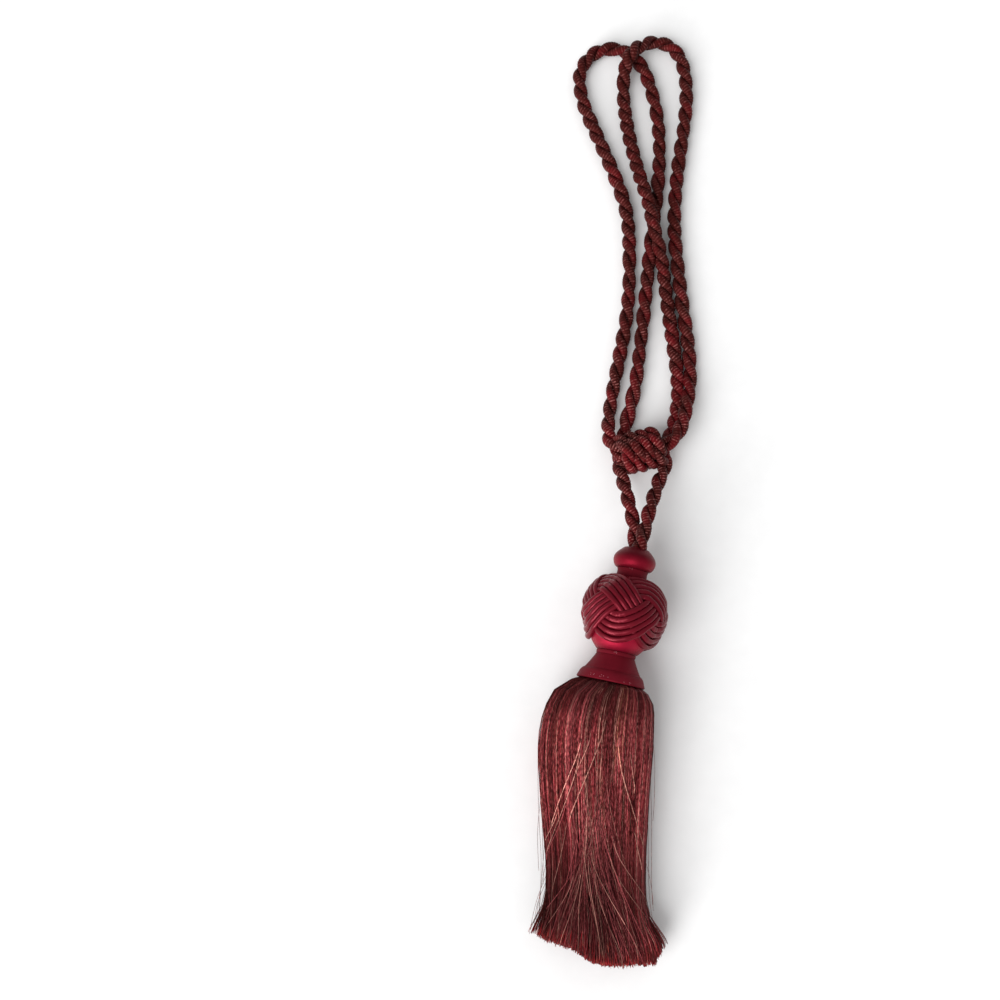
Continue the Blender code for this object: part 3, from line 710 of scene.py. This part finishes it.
def loose_fibres():
    """Small clusters of arcs that stand off the head."""
    rng = np.random.default_rng(27)
    *where, many = np.transpose(FIBRES)
    longitude, height, radius = np.repeat(where, many.astype(int), axis=1)
    count = len(longitude)
    longitude = np.radians(longitude + rng.normal(0, FIBRE_SCATTER[0], count))
    height = height + rng.normal(0, FIBRE_SCATTER[1], count)
    outward = on_ball(longitude, np.zeros(count))
    level = np.stack([np.cos(longitude), np.sin(longitude), np.zeros(count)], axis=-1)
    slant = rng.uniform(-FIBRE_SLANT, FIBRE_SLANT, count)[:, None]
    heading = level * np.cos(slant) + UPWARD * np.sin(slant)
    run = np.linspace(-FIBRE_HALF_LENGTH, FIBRE_HALF_LENGTH, 5)[None, :, None]
    off = radius[:, None, None] + FIBRE_STANDS_OFF - FIBRE_CURL * run**2
    point = outward[:, None] * off + heading[:, None] * run
    point[..., 2] += height[:, None]
    world = in_place(point)
    along = unit(np.gradient(world, axis=1))
    across = unit(np.cross((outward @ HEAD_AXES)[:, None], along))
    across = across * FIBRE_RADIUS * MM
    return tube_mesh("loose_fibres_on_head", world, across, np.cross(along, across), 4)


fibres = loose_fibres()
filament_with_painted_highlight, shader, _ = new_material("loose_rayon_filament")
# Pale pink: a painted highlight, for the light that a snapped filament catches.
set_inputs(shader, {"Base Color": colour("#b87078"), "Roughness": 0.35})
fibres.data.materials.append(filament_with_painted_highlight)
print("loose fibres:", len(fibres.data.polygons), "faces")

# %% [markdown]
# ## The skirt
#
# The skirt is a fringe wound on a board, cut along one edge and rolled into the collar: thousands of viscose
# threads that spring out under the rim, round a shoulder and fall in a bundle. It lies on its side, so it
# is pressed flat underneath. Blender's hair would make threads too, but it is curves, and the model has to
# be a mesh. So each thread is a thin tube with its own place, wander, length and dye, and they all stand on
# one description of the bundle: a row for each section, from the rim to the hem.

# %% The bundle's form
SECTIONS = (
    # x, y, height of the middle, half width, half height, lean, slope; millimetres and degrees
    (8, 45.5, 24.4, 14, 14, 11.8, 3.5),
    (6.9, 42.4, 24.2, 19.9, 19.4, 11.8, 3.5),
    (5.6, 40, 24.1, 25, 22, 11, 3.2),
    (2.8, 35.6, 23.9, 29.9, 23.6, 9, 2.5),
    (0.1, 27.5, 22.8, 33.4, 24.4, 5, 1),
    (-2.2, 15, 21.6, 35.3, 24.4, 2, 0),
    (-3.2, 1, 20.4, 35.7, 23.6, 0, 0),
    (-3.9, -21, 19.2, 34.1, 22.6, 0, 0),
    (-3.8, -43, 18.3, 32.4, 21.7, 0, 0),
    (-3.6, -65, 17.4, 30.7, 20.8, 0, 0),
    (-3.9, -88, 16.6, 30.7, 19.8, 0, 0),
    (-3.6, -101, 16, 32, 19, 0, 0),
    (-3, -114, 15.4, 35.6, 18.2, 0, 0),
    (-3, -130, 14.8, 38.4, 17.4, 0, 0),
)
X, MIDDLE, HALF_WIDTH, HALF_HEIGHT, LEAN, SLOPE = 0, 2, 3, 4, 5, 6  # the columns that are read at a y
HEM = (
    # where the longest threads end: x and y
    (-44.6, -110.5), (-34.8, -115), (-18.8, -119.5), (-7.8, -126.5), (1.7, -129.5), (30.2, -128.8),
    (39.2, -118.5),
)
HEM_MIDDLE_Y = -118.0
bundle_form = smooth_route(SECTIONS, 1.0)
RIM_Y, LAST_Y = bundle_form[0, 1], bundle_form[-1, 1]


def between_rows(table, at):
    """The second column of a table, read where its first column is at."""
    return np.interp(at, *np.transpose(table))


def form_at(y, column):
    """One measure of the bundle's section at each y."""
    return np.interp(-y, -bundle_form[:, 1], bundle_form[:, column])


def bundle_point(y, angle, depth):
    """Points of the bundle, and the way round it there: y of the section's middle, angle from +X over the
    top, and depth 1 at the skin. Each is an array of the same shape."""
    wide, high = form_at(y, HALF_WIDTH) * depth, form_at(y, HALF_HEIGHT) * depth
    lean, slope = np.radians(form_at(y, LEAN)), np.radians(form_at(y, SLOPE))
    right = np.stack([np.cos(lean), -np.sin(lean), np.zeros_like(lean)], axis=-1)
    up = np.stack([-np.sin(lean) * np.sin(slope), -np.cos(lean) * np.sin(slope), np.cos(slope)], axis=-1)
    right, up = right * wide[..., None], up * high[..., None]
    cos, sin = np.cos(angle)[..., None], np.sin(angle)[..., None]
    middle = np.stack([form_at(y, X), y, form_at(y, MIDDLE)], axis=-1)
    return middle + right * cos + up * sin, unit(up * cos - right * sin)


print("skirt:", round(RIM_Y - LAST_Y), "mm from rim to hem")

# %% [markdown]
# ## How threads lie
#
# Threads don't hang evenly. They gather in locks, each a little higher, longer or darker than the next, and
# the dark gaps between locks are what makes a tassel look soft. Under the rim they are packed and in its
# shade, and near the hem they spread, so light gets lost between them. The cut ends are brighter, because
# the dye shows fresh there.

# %% Locks
LOCKS = 90
TUFTS = 170  # the smaller bunches in which the threads end at the hem
lock_rng = np.random.default_rng(30)
lock_angle = np.sort(lock_rng.uniform(0, math.tau, LOCKS))
lock_tone = np.clip(lock_rng.normal(1.0, 0.17, LOCKS), 0.55, 1.4)
lock_depth = lock_rng.normal(0.0, 0.018, LOCKS)
lock_end = np.abs(lock_rng.normal(0.0, 0.9, LOCKS))
lock_waves = lock_rng.uniform(1.2, 3.8, LOCKS) * math.tau
lock_phase = lock_rng.uniform(0, math.tau, LOCKS)
tuft_end = np.abs(lock_rng.normal(0.0, 0.9, TUFTS))


def nearest_lock(angle):
    """For each angle, the number of its nearest lock and how far round the bundle that is."""
    apart = (lock_angle[None, :] - angle[:, None] + math.pi) % math.tau - math.pi
    number = np.abs(apart).argmin(axis=1)
    return number, apart[np.arange(len(angle)), number]


# The hanks that the locks belong to: x at the middle of the skirt, and how light they are
HANKS = (
    (-38, 0.85), (-33, 1.1), (-15, 1.15), (-7, 1.0), (1, 0.78), (7, 0.8), (14, 1.1), (24, 1.05), (32, 0.85)
)
lock_tone *= between_rows(HANKS, form_at(0.0, X) + form_at(0.0, HALF_WIDTH) * np.cos(lock_angle))
# How light the painted shade leaves the threads, and how crimped they are, from the rim to the hem
SHADE_ALONG = (
    (0.0, 0.30), (0.11, 0.44), (0.22, 0.92), (0.52, 1.05), (0.68, 0.54), (0.84, 0.36), (1.0, 0.58)
)
CRIMP_ALONG = ((0.0, 0.3), (0.07, 0.4), (0.17, 1.0), (0.50, 1.0), (0.70, 0.4), (1.0, 0.35))
# Under the rim and in the lower half, from the left side over the top to the right side
SHADE_UNDER_RIM = ((-1.0, 0.80), (-0.4, 0.66), (0.0, 0.64), (0.25, 1.4), (1.0, 1.4))
SHADE_ACROSS = ((-1.0, 0.66), (-0.4, 0.62), (0.15, 0.62), (0.5, 1.05), (1.0, 1.6))
# One streak of the bundle's upper part has more copper in it: its angle and its reach, in radians
COPPER_STREAK = 1.2
STREAK_REACH = 0.085
STREAK_COLOUR = np.array(colour("#b4705a")[:3])

# %% Thread making
THREAD_SIDES = 3
CUT_COLOURS = ("#b04a40", "#a82028", "#8c1a1e", "#7a1418", "#561216", "#34090c")
DYES = ("#8e3439", "#74292c", "#521e1f", "#6f3a32", "#aa5154", "#bc8074")
TONES = (0.7, 1.3)  # from the darkest thread to the lightest
UNEVEN_ENDS = 1.0  # millimetres by which single threads end higher up
END_FROM, END_SIZE = 0.99, 0.8  # a thread's end, as a share of its length, and how thick it is there
TUFT_PULL = 0.7  # how far the ends draw together
FRESH = (0.5, 4.5)  # millimetres from the end in which the cut colour shows
FRESHNESS = 0.75  # how much of that colour is in it
CUT_FACE = 0.5  # millimetres from the very end, which is in shade on many threads
IN_SHADE, FACE_SHADE = 0.55, 0.3  # the share of those threads, and how light it is on them
# From where to where along a thread, as shares of its length
TUFTS_DRAW = (0.93, 1.0)
STREAK_FADES = (0.22, 0.40)
LEAVES_RIM = (0.09, 0.15)
LOWER_PART = (0.55, 0.85)


def rgb_of(codes, numbers):
    """The linear colour with each of these numbers."""
    return np.array([colour(code)[:3] for code in codes])[numbers]


def lay_threads(
    name, seed, angle, path_angle, path_depth, share, radius, shares, shorter=0, tone=1, shaded=1, waver=0.2
):
    """Threads from the rim to the hem. angle is where each leaves the rim, path_angle and path_depth say
    where it lies at each share of its length, and shares says how common each dye is. shaded is how much of
    the bundle's shade it takes, and waver how much its own tone comes and goes."""
    rng = np.random.default_rng(seed)
    count, rings = path_angle.shape
    number, _ = nearest_lock(angle)
    last, _ = bundle_point(np.full(count, HEM_MIDDLE_Y), path_angle[:, -1], path_depth[:, -1])
    tuft = np.floor(path_angle[:, -1] % math.tau * TUFTS / math.tau).astype(int)
    end = between_rows(HEM, last[:, 0]) + np.abs(rng.normal(0, UNEVEN_ENDS, count))
    end = end + lock_end[number] + tuft_end[tuft]
    middle = (tuft[:, None] + 0.5) * math.tau / TUFTS - path_angle[:, -1:] % math.tau
    path_angle = path_angle + TUFT_PULL * middle * ramp(share, *TUFTS_DRAW)
    facing_up = np.clip(np.sin(path_angle[:, -1]), 0, 1)
    end = end + shorter * facing_up * rng.random(count) ** 1.6
    y = RIM_Y + (end - RIM_Y)[:, None] * share
    point, round_bundle = bundle_point(y, path_angle, path_depth)
    radius = radius[:, None] * np.where(share > END_FROM, END_SIZE, 1.0)
    point[..., 2] = np.maximum(point[..., 2], radius)
    tangent = unit(np.gradient(point, axis=1))
    across = square_to(tangent, round_bundle)
    dye = rgb_of(DYES, rng.choice(len(DYES), count, p=shares))[:, None]
    coppery = (np.abs(angle - COPPER_STREAK) < STREAK_REACH) & (np.arange(count) % 3 < 1)
    coppery = coppery[:, None] * (1 - ramp(share, *STREAK_FADES))
    dye = dye + coppery[..., None] * (STREAK_COLOUR - dye)
    dye = dye * (tone * lock_tone[number] * rng.uniform(*TONES, count))[:, None, None]
    # The shade below is painted into each thread's colour: along the thread, under the rim and across the
    # bundle.
    shade = 1 - shaded * (1 - between_rows(SHADE_ALONG, share))
    shade = shade * (1 + waver * np.sin(lock_waves[number, None] * share + lock_phase[number, None]))
    under_rim, low = 1 - ramp(share, *LEAVES_RIM), ramp(share, *LOWER_PART)
    for where, shade_across in ((under_rim, SHADE_UNDER_RIM), (low, SHADE_ACROSS)):
        shade = shade * (1 + where * (between_rows(shade_across, np.cos(path_angle)) - 1))
    tint = dye * shade[..., None]
    cut = rgb_of(CUT_COLOURS, rng.integers(0, len(CUT_COLOURS), count))[:, None]
    crimp = between_rows(CRIMP_ALONG, share) + np.zeros((count, rings))
    from_end = (y - end[:, None])[..., None]
    fresh = from_end < rng.uniform(*FRESH, (count, 1, 1))
    tint = np.where(fresh, (1 - FRESHNESS) * tint + FRESHNESS * cut, tint)
    tint = np.where((from_end < CUT_FACE) & (rng.random((count, 1, 1)) < IN_SHADE), FACE_SHADE * tint, tint)
    across = across * radius[..., None] * MM
    # The colour attribute holds each thread's dye with the painted shade in it, and its alpha how crimped it
    # is.
    looks = np.concatenate([np.clip(tint, 0, 1), crimp[..., None]], axis=-1)
    return tube_mesh(name, point * MM, across, np.cross(tangent, across), THREAD_SIDES, dye=looks)


# %% Hanging threads
LOCK_PULL = 0.62  # how far a thread goes over to the middle of its lock
LOCK_REACH = 0.07  # radians, the furthest that this counts
GAP_DEPTH = 0.030  # how much deeper the threads between two locks lie
GAP_FROM = 0.06  # radians from the middle of a lock
RIPPLES = ((7, 0.016), (17, 0.013), (37, 0.007))  # waves on a thread's way, and their size in radians
SIDES_FROM = 0.88  # of the half width
FLARING = 0.28  # the share of the side threads that stand out at the hem
SIDE_FLARE = (0.03, 0.13)
UNEVEN_FLARE = 0.02
# From where to where along a thread, as shares of its length
GATHERS = (0.08, 0.68)
FLARES = (0.84, 1.0)
FILLS = (0.85, 0.98)
MOST_RINGS, LAST_RINGS = 0.965, [0.98, 0.994, 1.0]  # how far all but three of its rings go, and the three
HEM_CORNERS = ((2.98, 0.17), (0.16, 0.13))  # the angle of each, and how far its threads stand out
CORNER_WIDTH = 0.07  # radians
MOST_FLARE = 0.22


def hanging_threads(name, count, rings, seed, depths, radii, shares, wander, inward=0.0, **looks):
    """Threads all round the bundle that gather in its locks. inward is how far they fill its middle at the
    hem, where the bundle would look hollow from its end."""
    rng = np.random.default_rng(seed)
    grid = np.linspace(0, math.tau, 721)
    spread = np.cumsum(np.hypot(34 * np.sin(grid), 22 * np.cos(grid)))  # the half width and half height
    angle = np.interp(rng.random(count), spread / spread[-1], grid)
    number, apart = nearest_lock(angle)
    share = np.concatenate([np.linspace(0, 1, rings - 3) ** 1.2 * MOST_RINGS, LAST_RINGS])[None, :]
    pull = LOCK_PULL * np.clip(apart, -LOCK_REACH, LOCK_REACH)[:, None] * ramp(share, *GATHERS)
    path_angle = angle[:, None] + pull + rng.normal(0, wander, count)[:, None] * share**1.5
    for waves, size in RIPPLES:
        height = rng.normal(0, size, count)[:, None] * np.minimum(3 * share, 1)
        path_angle = path_angle + height * np.sin(rng.uniform(0, math.tau, count)[:, None] + waves * share)
    depth = depths[1] - (depths[1] - depths[0]) * rng.random(count) ** 1.5
    depth = depth - GAP_DEPTH * np.clip(np.abs(apart) / GAP_FROM, 0, 1) + lock_depth[number]
    at_side = np.abs(np.cos(angle)) > SIDES_FROM
    loose = (rng.random(count) < FLARING) * at_side * rng.uniform(*SIDE_FLARE, count)
    for corner, out in HEM_CORNERS:
        loose = np.minimum(loose + out * np.exp(-(((angle - corner) / CORNER_WIDTH) ** 2)), MOST_FLARE)
    flare = (rng.normal(0, UNEVEN_FLARE, count) + loose)[:, None] * ramp(share, *FLARES)
    filling = inward * rng.random(count)[:, None] ** 1.3 * ramp(share, *FILLS)
    path_depth = (depth[:, None] + flare) * (1 - filling)
    radius = rng.uniform(*radii, count)
    return lay_threads(name, seed + 1, angle, path_angle, path_depth, share, radius, shares, **looks)


# %% Three layers of threads
# How common each dye is
MOSTLY_WINE = (0.33, 0.27, 0.17, 0.09, 0.11, 0.03)
WITH_COPPER = (0.30, 0.24, 0.15, 0.09, 0.15, 0.07)
# The inner layer takes none of the pale dyes and a tone of 0.55: painted shade, for threads deep in the
# bundle.
DARK_WINE_FOR_SHADE = (0.25, 0.35, 0.3, 0.1, 0.0, 0.0)
skirt_inner = hanging_threads(
    "skirt_threads_inner", 1700, 14, 31, (0.74, 0.93), (0.38, 0.52), DARK_WINE_FOR_SHADE, 0.03, 0.95, tone=0.55
)
skirt_outer = hanging_threads(
    "skirt_threads_outer", 1600, 21, 41, (0.93, 1.0), (0.17, 0.27), MOSTLY_WINE, 0.03, shorter=8.0
)
surface_looks = {"shorter": 13.0, "tone": 1.1}
skirt_surface = hanging_threads(
    "skirt_threads_surface", 1600, 21, 51, (0.96, 1.01), (0.13, 0.22), WITH_COPPER, 0.045, **surface_looks
)

# %% [markdown]
# ## Threads that cross the others
#
# A tassel that has been handled has threads that have left their lock. Some cross the skirt in one long
# slant, many fan out to both sides from the middle of its lower half, and a few stand off its sides. They
# lie on top, catch the light and look paler. The ones that show most are placed one by one, each by the two
# points that its slant joins, and the others at random.

# %% Slants
SLANTS = (
    # from x and y, to x and y, how thick, and how late it bends; millimetres
    (1.7, 12.5, -17.6, -41.3, 0.34, 1.1), (-13.5, -2.1, -30.5, -46, 0.3, 0.95),
    (-12.6, -5.8, -34, -62.8, 0.34, 1.05), (9.7, -4.8, 26, -59.1, 0.32, 1.05),
    (16.8, -3.8, 21.5, -26, 0.22, 1), (-7.6, 4.1, -14.9, -13.9, 0.22, 1.1),
    (-21.8, -37.7, -35.6, -65.9, 0.22, 1.1), (-26.7, -39.5, -34.6, -55.5, 0.22, 1.1),
    (-8.8, -49.8, -39.8, -102.5, 0.22, 1.5), (-20.7, -49.8, -29.5, -80, 0.22, 1),
    (-9.1, -46, -13.7, -85.4, 0.22, 1.2), (-3.8, -43.6, 11.2, -87.1, 0.24, 1),
    (9.3, -77.8, 15.6, -109.1, 0.22, 1.2), (3, -64, 37.5, -111, 0.19, 1.25),
    (-7.9, -66.1, 15.1, -108.7, 0.19, 1.05), (19, -51.9, 24.4, -72, 0.22, 1.1),
    (5.8, -61.4, 29.5, -95.9, 0.22, 1.2), (-6.2, -70.8, 7.6, -115.7, 0.22, 1.4),
    (-11.3, -61.4, -0.8, -116.8, 0.22, 1.5), (2, -76.7, 17.7, -118.6, 0.22, 1.3),
    (-8.8, -70.8, -3.7, -107, 0.22, 1.3), (-13.6, -77.8, -22.3, -109.9, 0.22, 1.4),
    (-17.9, -80.8, -33.1, -108.1, 0.22, 1.4),
)
COPPER = (0.0, 0.0, 0.0, 0.06, 0.24, 0.70)
PINK = (0.20, 0.0, 0.0, 0.05, 0.55, 0.20)
SINKS_ABOVE = -75  # y: a slant that ends higher up than this sinks there
SINKS_BY = 0.12  # of the depth at the skin
HIDDEN_DEPTH, TO_SKIN = 0.93, 0.07  # where it comes from, and how far that is from the skin
PAST_THE_END = 1.2  # how far a slant's course goes on, as a share of it
SLANT_WAVER = 0.01  # radians
FULLY_OUT = 0.04  # the share of the slant at which a thread has come out
SINKS_AT = (0.95, 1.25)  # shares of it, from where to where it sinks
UNEVEN_LIFT, UNEVEN_RADIUS = (0.6, 1.4), (0.9, 1.1)


def angle_on_top(x, y):
    """The angle at which a point of the bundle's skin at y lies at x."""
    return np.arccos(np.clip((x - form_at(y, X)) / form_at(y, HALF_WIDTH), -0.99, 0.99))


def eased(share, corner=0.08):
    """0 before the slant, then share itself, up to PAST_THE_END, with both corners rounded."""
    return corner * (np.logaddexp(0, share / corner) - np.logaddexp(0, (share - PAST_THE_END) / corner))


# %% Crossing threads
FAN_FROM_Y = (-70, -15)  # millimetres, as are the next five
FAN_MIDDLE = -5
FAN_SCATTER = 8
FAN_ASIDE = (6, 30)  # how far a slant goes to its side
FAN_LIMITS = (-38, 34)
FAN_THICKNESS = (0.12, 0.19)
FAN_BEND = (1.1, 1.6)


def crossing_threads(name, seed, slants, lift, shares, rise, tone, shaded, rings=44):
    """Threads that rise out of the bundle above a slant's first point, follow it, and go on to the hem.
    Those whose slant ends far above the hem sink back into the bundle there. rise is how long the way out
    is, as a share of the slant."""
    rng = np.random.default_rng(seed)
    from_x, from_y, to_x, to_y, thickness, bend = np.transpose(slants)[..., None]
    from_angle = angle_on_top(from_x, from_y)
    share = np.linspace(0, 1, rings)[None, :]
    y = RIM_Y + (between_rows(HEM, to_x) - RIM_Y) * share
    past = (from_y - y) / (from_y - to_y)
    x = from_x + (to_x - from_x) * eased(past) ** bend
    path_angle = from_angle + angle_on_top(x, y) - angle_on_top(from_x, y)
    waver = rng.normal(0, SLANT_WAVER, (len(slants), 1))
    path_angle = path_angle + waver * np.sin(13 * share + 6 * from_angle)
    above = lift * rng.uniform(*UNEVEN_LIFT, (len(slants), 1)) * np.sin(path_angle)
    sinks = (to_y > SINKS_ABOVE) * ramp(past, *SINKS_AT)
    path_depth = HIDDEN_DEPTH + (TO_SKIN + above) * ramp(past, FULLY_OUT - rise, FULLY_OUT)
    path_depth = path_depth - (SINKS_BY + above) * sinks
    radius = thickness[:, 0] * rng.uniform(*UNEVEN_RADIUS, len(slants))
    leaves = from_angle[:, 0]
    looks = {"tone": tone, "shaded": shaded, "waver": 0.35}
    return lay_threads(name, seed + 1, leaves, path_angle, path_depth, share, radius, shares, **looks)


def random_slants(count, seed):
    """Slants that fan out from the middle of the lower half to both sides of the hem."""
    rng = np.random.default_rng(seed)
    from_y = rng.uniform(*FAN_FROM_Y, count)
    from_x = rng.normal(0, FAN_SCATTER, count) + FAN_MIDDLE
    aside = rng.choice((-1, 1), count) * rng.uniform(*FAN_ASIDE, count)
    to_x = np.clip(from_x + aside, *FAN_LIMITS)
    thickness = rng.uniform(*FAN_THICKNESS, count)
    bend = rng.uniform(*FAN_BEND, count)
    return np.stack([from_x, from_y, to_x, np.full(count, HEM_MIDDLE_Y), thickness, bend], axis=1)


skirt_slants = crossing_threads("skirt_threads_crossing", 61, SLANTS, 0.055, COPPER, 0.4, 1.0, 0.5)
fan = random_slants(78, 62)
skirt_fan = crossing_threads("skirt_threads_fan", 63, fan, 0.04, PINK, 0.2, 0.75, 0.7)

# %% Threads that stand off the sides
OFF_SIDES = (
    # which side, where it leaves the side and where it ends, and how far out from the side
    (-1, -2, -109, 3.5), (-1, -28, -72, 5), (-1, -38, -80, 2.2), (-1, -52, -104, 4), (-1, -66, -108, 5),
    (-1, -74, -110, 7.5), (-1, -78, -104, 6), (1, 12, -42, 4.5), (1, -4, -96, 4.5), (1, -30, -105, 3.5),
    (1, -64, -92, 4.5),
)
OFF_RADIUS = 0.15  # millimetres
START_INSIDE = 0.4
BOW = 0.6 * math.pi  # how much of a sine's arch each has
OFF_DRIFT = (-5, 8)  # millimetres down and up, over the length
OFF_RINGS = 24


def standing_off(name, seed):
    """Single threads beside the skirt, bowed away from it."""
    rng = np.random.default_rng(seed)
    share = np.linspace(0, 1, OFF_RINGS)[None, :]
    side, from_y, to_y, out = np.transpose(OFF_SIDES)[..., None]
    y = from_y + (to_y - from_y) * share
    x = form_at(y, X) + side * (form_at(y, HALF_WIDTH) + out * np.sin(BOW * share) - START_INSIDE)
    z = form_at(y, MIDDLE) + rng.uniform(*OFF_DRIFT, (len(OFF_SIDES), 1)) * share
    point = np.stack([x, y, z], axis=-1)
    tangent = unit(np.gradient(point, axis=1))
    across = unit(np.cross(UPWARD, tangent)) * OFF_RADIUS * MM
    dye = np.array(colour("#7c5450")) * np.ones((*point.shape[:2], 4))
    return tube_mesh(name, point * MM, across, np.cross(tangent, across), THREAD_SIDES, dye=dye)


skirt_off_sides = standing_off("skirt_threads_off_sides", 71)

# %% The middle of the bundle, painted dark as shade
CORE_SIDES = 96
CORE_RINGS = 60
CORE_DEPTH = 0.78
CORE_REST = 0.4  # millimetres over the surface
SHORT_OF_HEM = 12.0


def bundle_core():
    """A closed body just under the threads, so that no light comes through between them. It ends 12 mm
    short of the hem."""
    y = np.linspace(RIM_Y, HEM_MIDDLE_Y, CORE_RINGS)[:, None]
    angle = (np.arange(CORE_SIDES) * math.tau / CORE_SIDES)[None, :]
    y, angle = np.broadcast_arrays(y, angle)
    point, _ = bundle_point(y, angle, np.full(y.shape, CORE_DEPTH))
    fall = between_rows(HEM, point[..., 0]) + SHORT_OF_HEM - RIM_Y
    point[..., 1] = RIM_Y + (point[..., 1] - RIM_Y) * fall / (HEM_MIDDLE_Y - RIM_Y)
    point[..., 2] = np.maximum(point[..., 2], CORE_REST)
    index = np.arange(CORE_RINGS * CORE_SIDES).reshape(CORE_RINGS, CORE_SIDES)
    quads = np.stack([index[:-1], index[1:], np.roll(index[1:], -1, 1), np.roll(index[:-1], -1, 1)], axis=-1)
    faces = [*quads.reshape(-1, 4).tolist(), index[0].tolist(), index[-1, ::-1].tolist()]
    return new_piece("skirt_core", point * MM, faces)


skirt_core = bundle_core()
skirt_threads = (skirt_inner, skirt_outer, skirt_surface, skirt_slants, skirt_fan, skirt_off_sides)
print("threads:", sum(len(piece.data.polygons) for piece in skirt_threads), "faces")

# %% [markdown]
# ## What the threads are made of
#
# Viscose fringe is dyed in a few close colours and mixed on the board: wine, maroon, brown, and now and
# then a copper thread. Each thread carries its dye, with the painted shade in it, as a colour attribute.
# The thread is crimped, so it catches the light in short dashes a few millimetres long, and the material
# paints those from a noise that is drawn out along the skirt: light dashes and pale glints are painted
# highlights, and dark dashes are painted shade. Under the rim and near the hem the crimp is pulled out, so
# the painted dashes fade there: the attribute's alpha says how much.

# %% Skirt materials
THREAD_DASH = 0.65 * MM  # across the skirt, and four times that along it


def fringe_thread():
    """Viscose thread: each thread's own colour, with short light and dark dashes painted on where it is
    crimped, as painted highlights and painted shade.
    """
    made, shader, node = new_material("viscose_fringe_thread")
    dye = node("Attribute", output="Color", attribute_name="dye")
    crimped = dye.node.outputs["Alpha"]
    drawn_out = node("Mapping", {"Vector": node("TexCoord", output="Object"), "Scale": (1.0, 0.25, 1.0)})
    # Painted highlight and shade: the dashes and glints are drawn from this noise.
    crimp = node("TexNoise", {"Vector": drawn_out, "Scale": 1 / THREAD_DASH, "Detail": 2.0})
    dashes = {"From Min": 0.38, "From Max": 0.64, "To Min": -0.62, "To Max": 0.75}
    dash = node("MapRange", {"Value": crimp, **dashes})
    lightness = node("Math", {0: dash, 1: crimped, 2: 1.0}, operation="MULTIPLY_ADD")
    dashed = node("VectorMath", {0: dye, "Scale": lightness}, operation="SCALE")
    glint = node("MapRange", {"Value": crimp, "From Min": 0.57, "From Max": 0.70, "To Max": 0.5})
    shown = node("Math", {0: glint, 1: crimped}, operation="MULTIPLY")
    lit = node("Mix", {0: shown, 6: dashed, 7: colour("#b4686a")}, **OF_COLOURS)
    set_inputs(shader, {"Base Color": lit, "Roughness": 0.42})
    set_inputs(shader, {"Specular IOR Level": 0.18, "Specular Tint": colour("#ffa098")})
    return made


def fringe_core():
    """The same threads deep in the bundle, painted almost black maroon as their shade, streaked along their
    length.
    """
    made, shader, node = new_material("viscose_fringe_in_shade")
    stretched = node("Mapping", {"Vector": node("TexCoord", output="Object"), "Scale": (1.0, 0.04, 1.0)})
    streak = node("TexNoise", {"Vector": stretched, "Scale": 1400.0, "Detail": 2.0})
    dye = node("Mix", {0: streak, 6: colour("#140506"), 7: colour("#34100f")}, **OF_COLOURS)
    set_inputs(shader, {"Base Color": dye, "Roughness": 0.8, "Specular IOR Level": 0.1})
    return made


thread_finish = fringe_thread()
for piece in skirt_threads:
    piece.data.materials.append(thread_finish)
skirt_core.data.materials.append(fringe_core())

# %% [markdown]
# ## The floor and the light
#
# A plain pale floor, an even white surround and two soft lights, both from the left of the skirt's end. The
# high one lights everything. The low one acts as a long reflector close to the floor: it hardly reaches the
# floor itself, but it draws a bright edge along every cord, rib and satin form on the side that faces it.

# %% Floor, light and world
FLOOR_SIZE = 8.0

bpy.ops.object.select_all(action="DESELECT")
bpy.ops.mesh.primitive_plane_add(size=FLOOR_SIZE, location=(0, 0, 0))
floor = bpy.context.object
floor.name = "floor"
paper, shader, node = new_material("white_paper")
from_corner = {"Vector": node("TexCoord", output="Object"), "Location": [FLOOR_SIZE / 2] * 3}
grain = node("TexNoise", {"Vector": node("Mapping", from_corner), "Scale": 75.0, "Detail": 2.0})
white = node("Mix", {0: grain, 6: colour("#f4f4f4"), 7: colour("#fafafa")}, **OF_COLOURS)
set_inputs(shader, {"Base Color": white, "Roughness": 0.9})
floor.data.materials.append(paper)


def soft_sun(name, direction, energy, angle):
    """A distant light that shines from direction, as wide as angle in degrees."""
    bpy.ops.object.light_add(type="SUN", location=direction)
    sun = bpy.context.object
    sun.name = name
    sun.rotation_euler = Vector(direction).to_track_quat("Z", "Y").to_euler()
    sun.data.energy = energy
    sun.data.angle = math.radians(angle)


soft_sun("high_window_light", (-0.50, -0.50, 0.70), 2.1, 45)
soft_sun("low_reflector_light", (-0.58, -0.78, 0.22), 2.2, 26)

world = bpy.data.worlds.new("surround")
world.use_nodes = True
set_inputs(world.node_tree.nodes["Background"], {"Color": colour("#ffffff"), "Strength": 0.54})
bpy.context.scene.world = world
bpy.context.scene.view_settings.view_transform = "Standard"

# %% [markdown]
# ## Ride and replace
#
# Nothing on a tieback moves on a joint, so every piece rides on the one body. Each hides the solid that it
# covers, and for every solid one piece stands in its place.

# %% Ride and replace
PIECES = [(piece, "satin", form) for form, piece in head.items()]
PIECES += [(ropes[name], "rope", "rope_" + name) for name in ropes]
PIECES += [
    (knot_wraps, "rope", "knot"),
    (woven_band, "satin_cord", "woven_band"),
    (fibres, "satin", None),
    (skirt_surface, "skirt_thread", "skirt"),
]
others = (skirt_outer, skirt_inner, skirt_slants, skirt_fan, skirt_off_sides, skirt_core)
PIECES += [(piece, "skirt_thread", None) for piece in others]
for piece, slot, cad_node in PIECES:
    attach(piece, "root")
    if cad_node:
        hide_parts(cad_node)
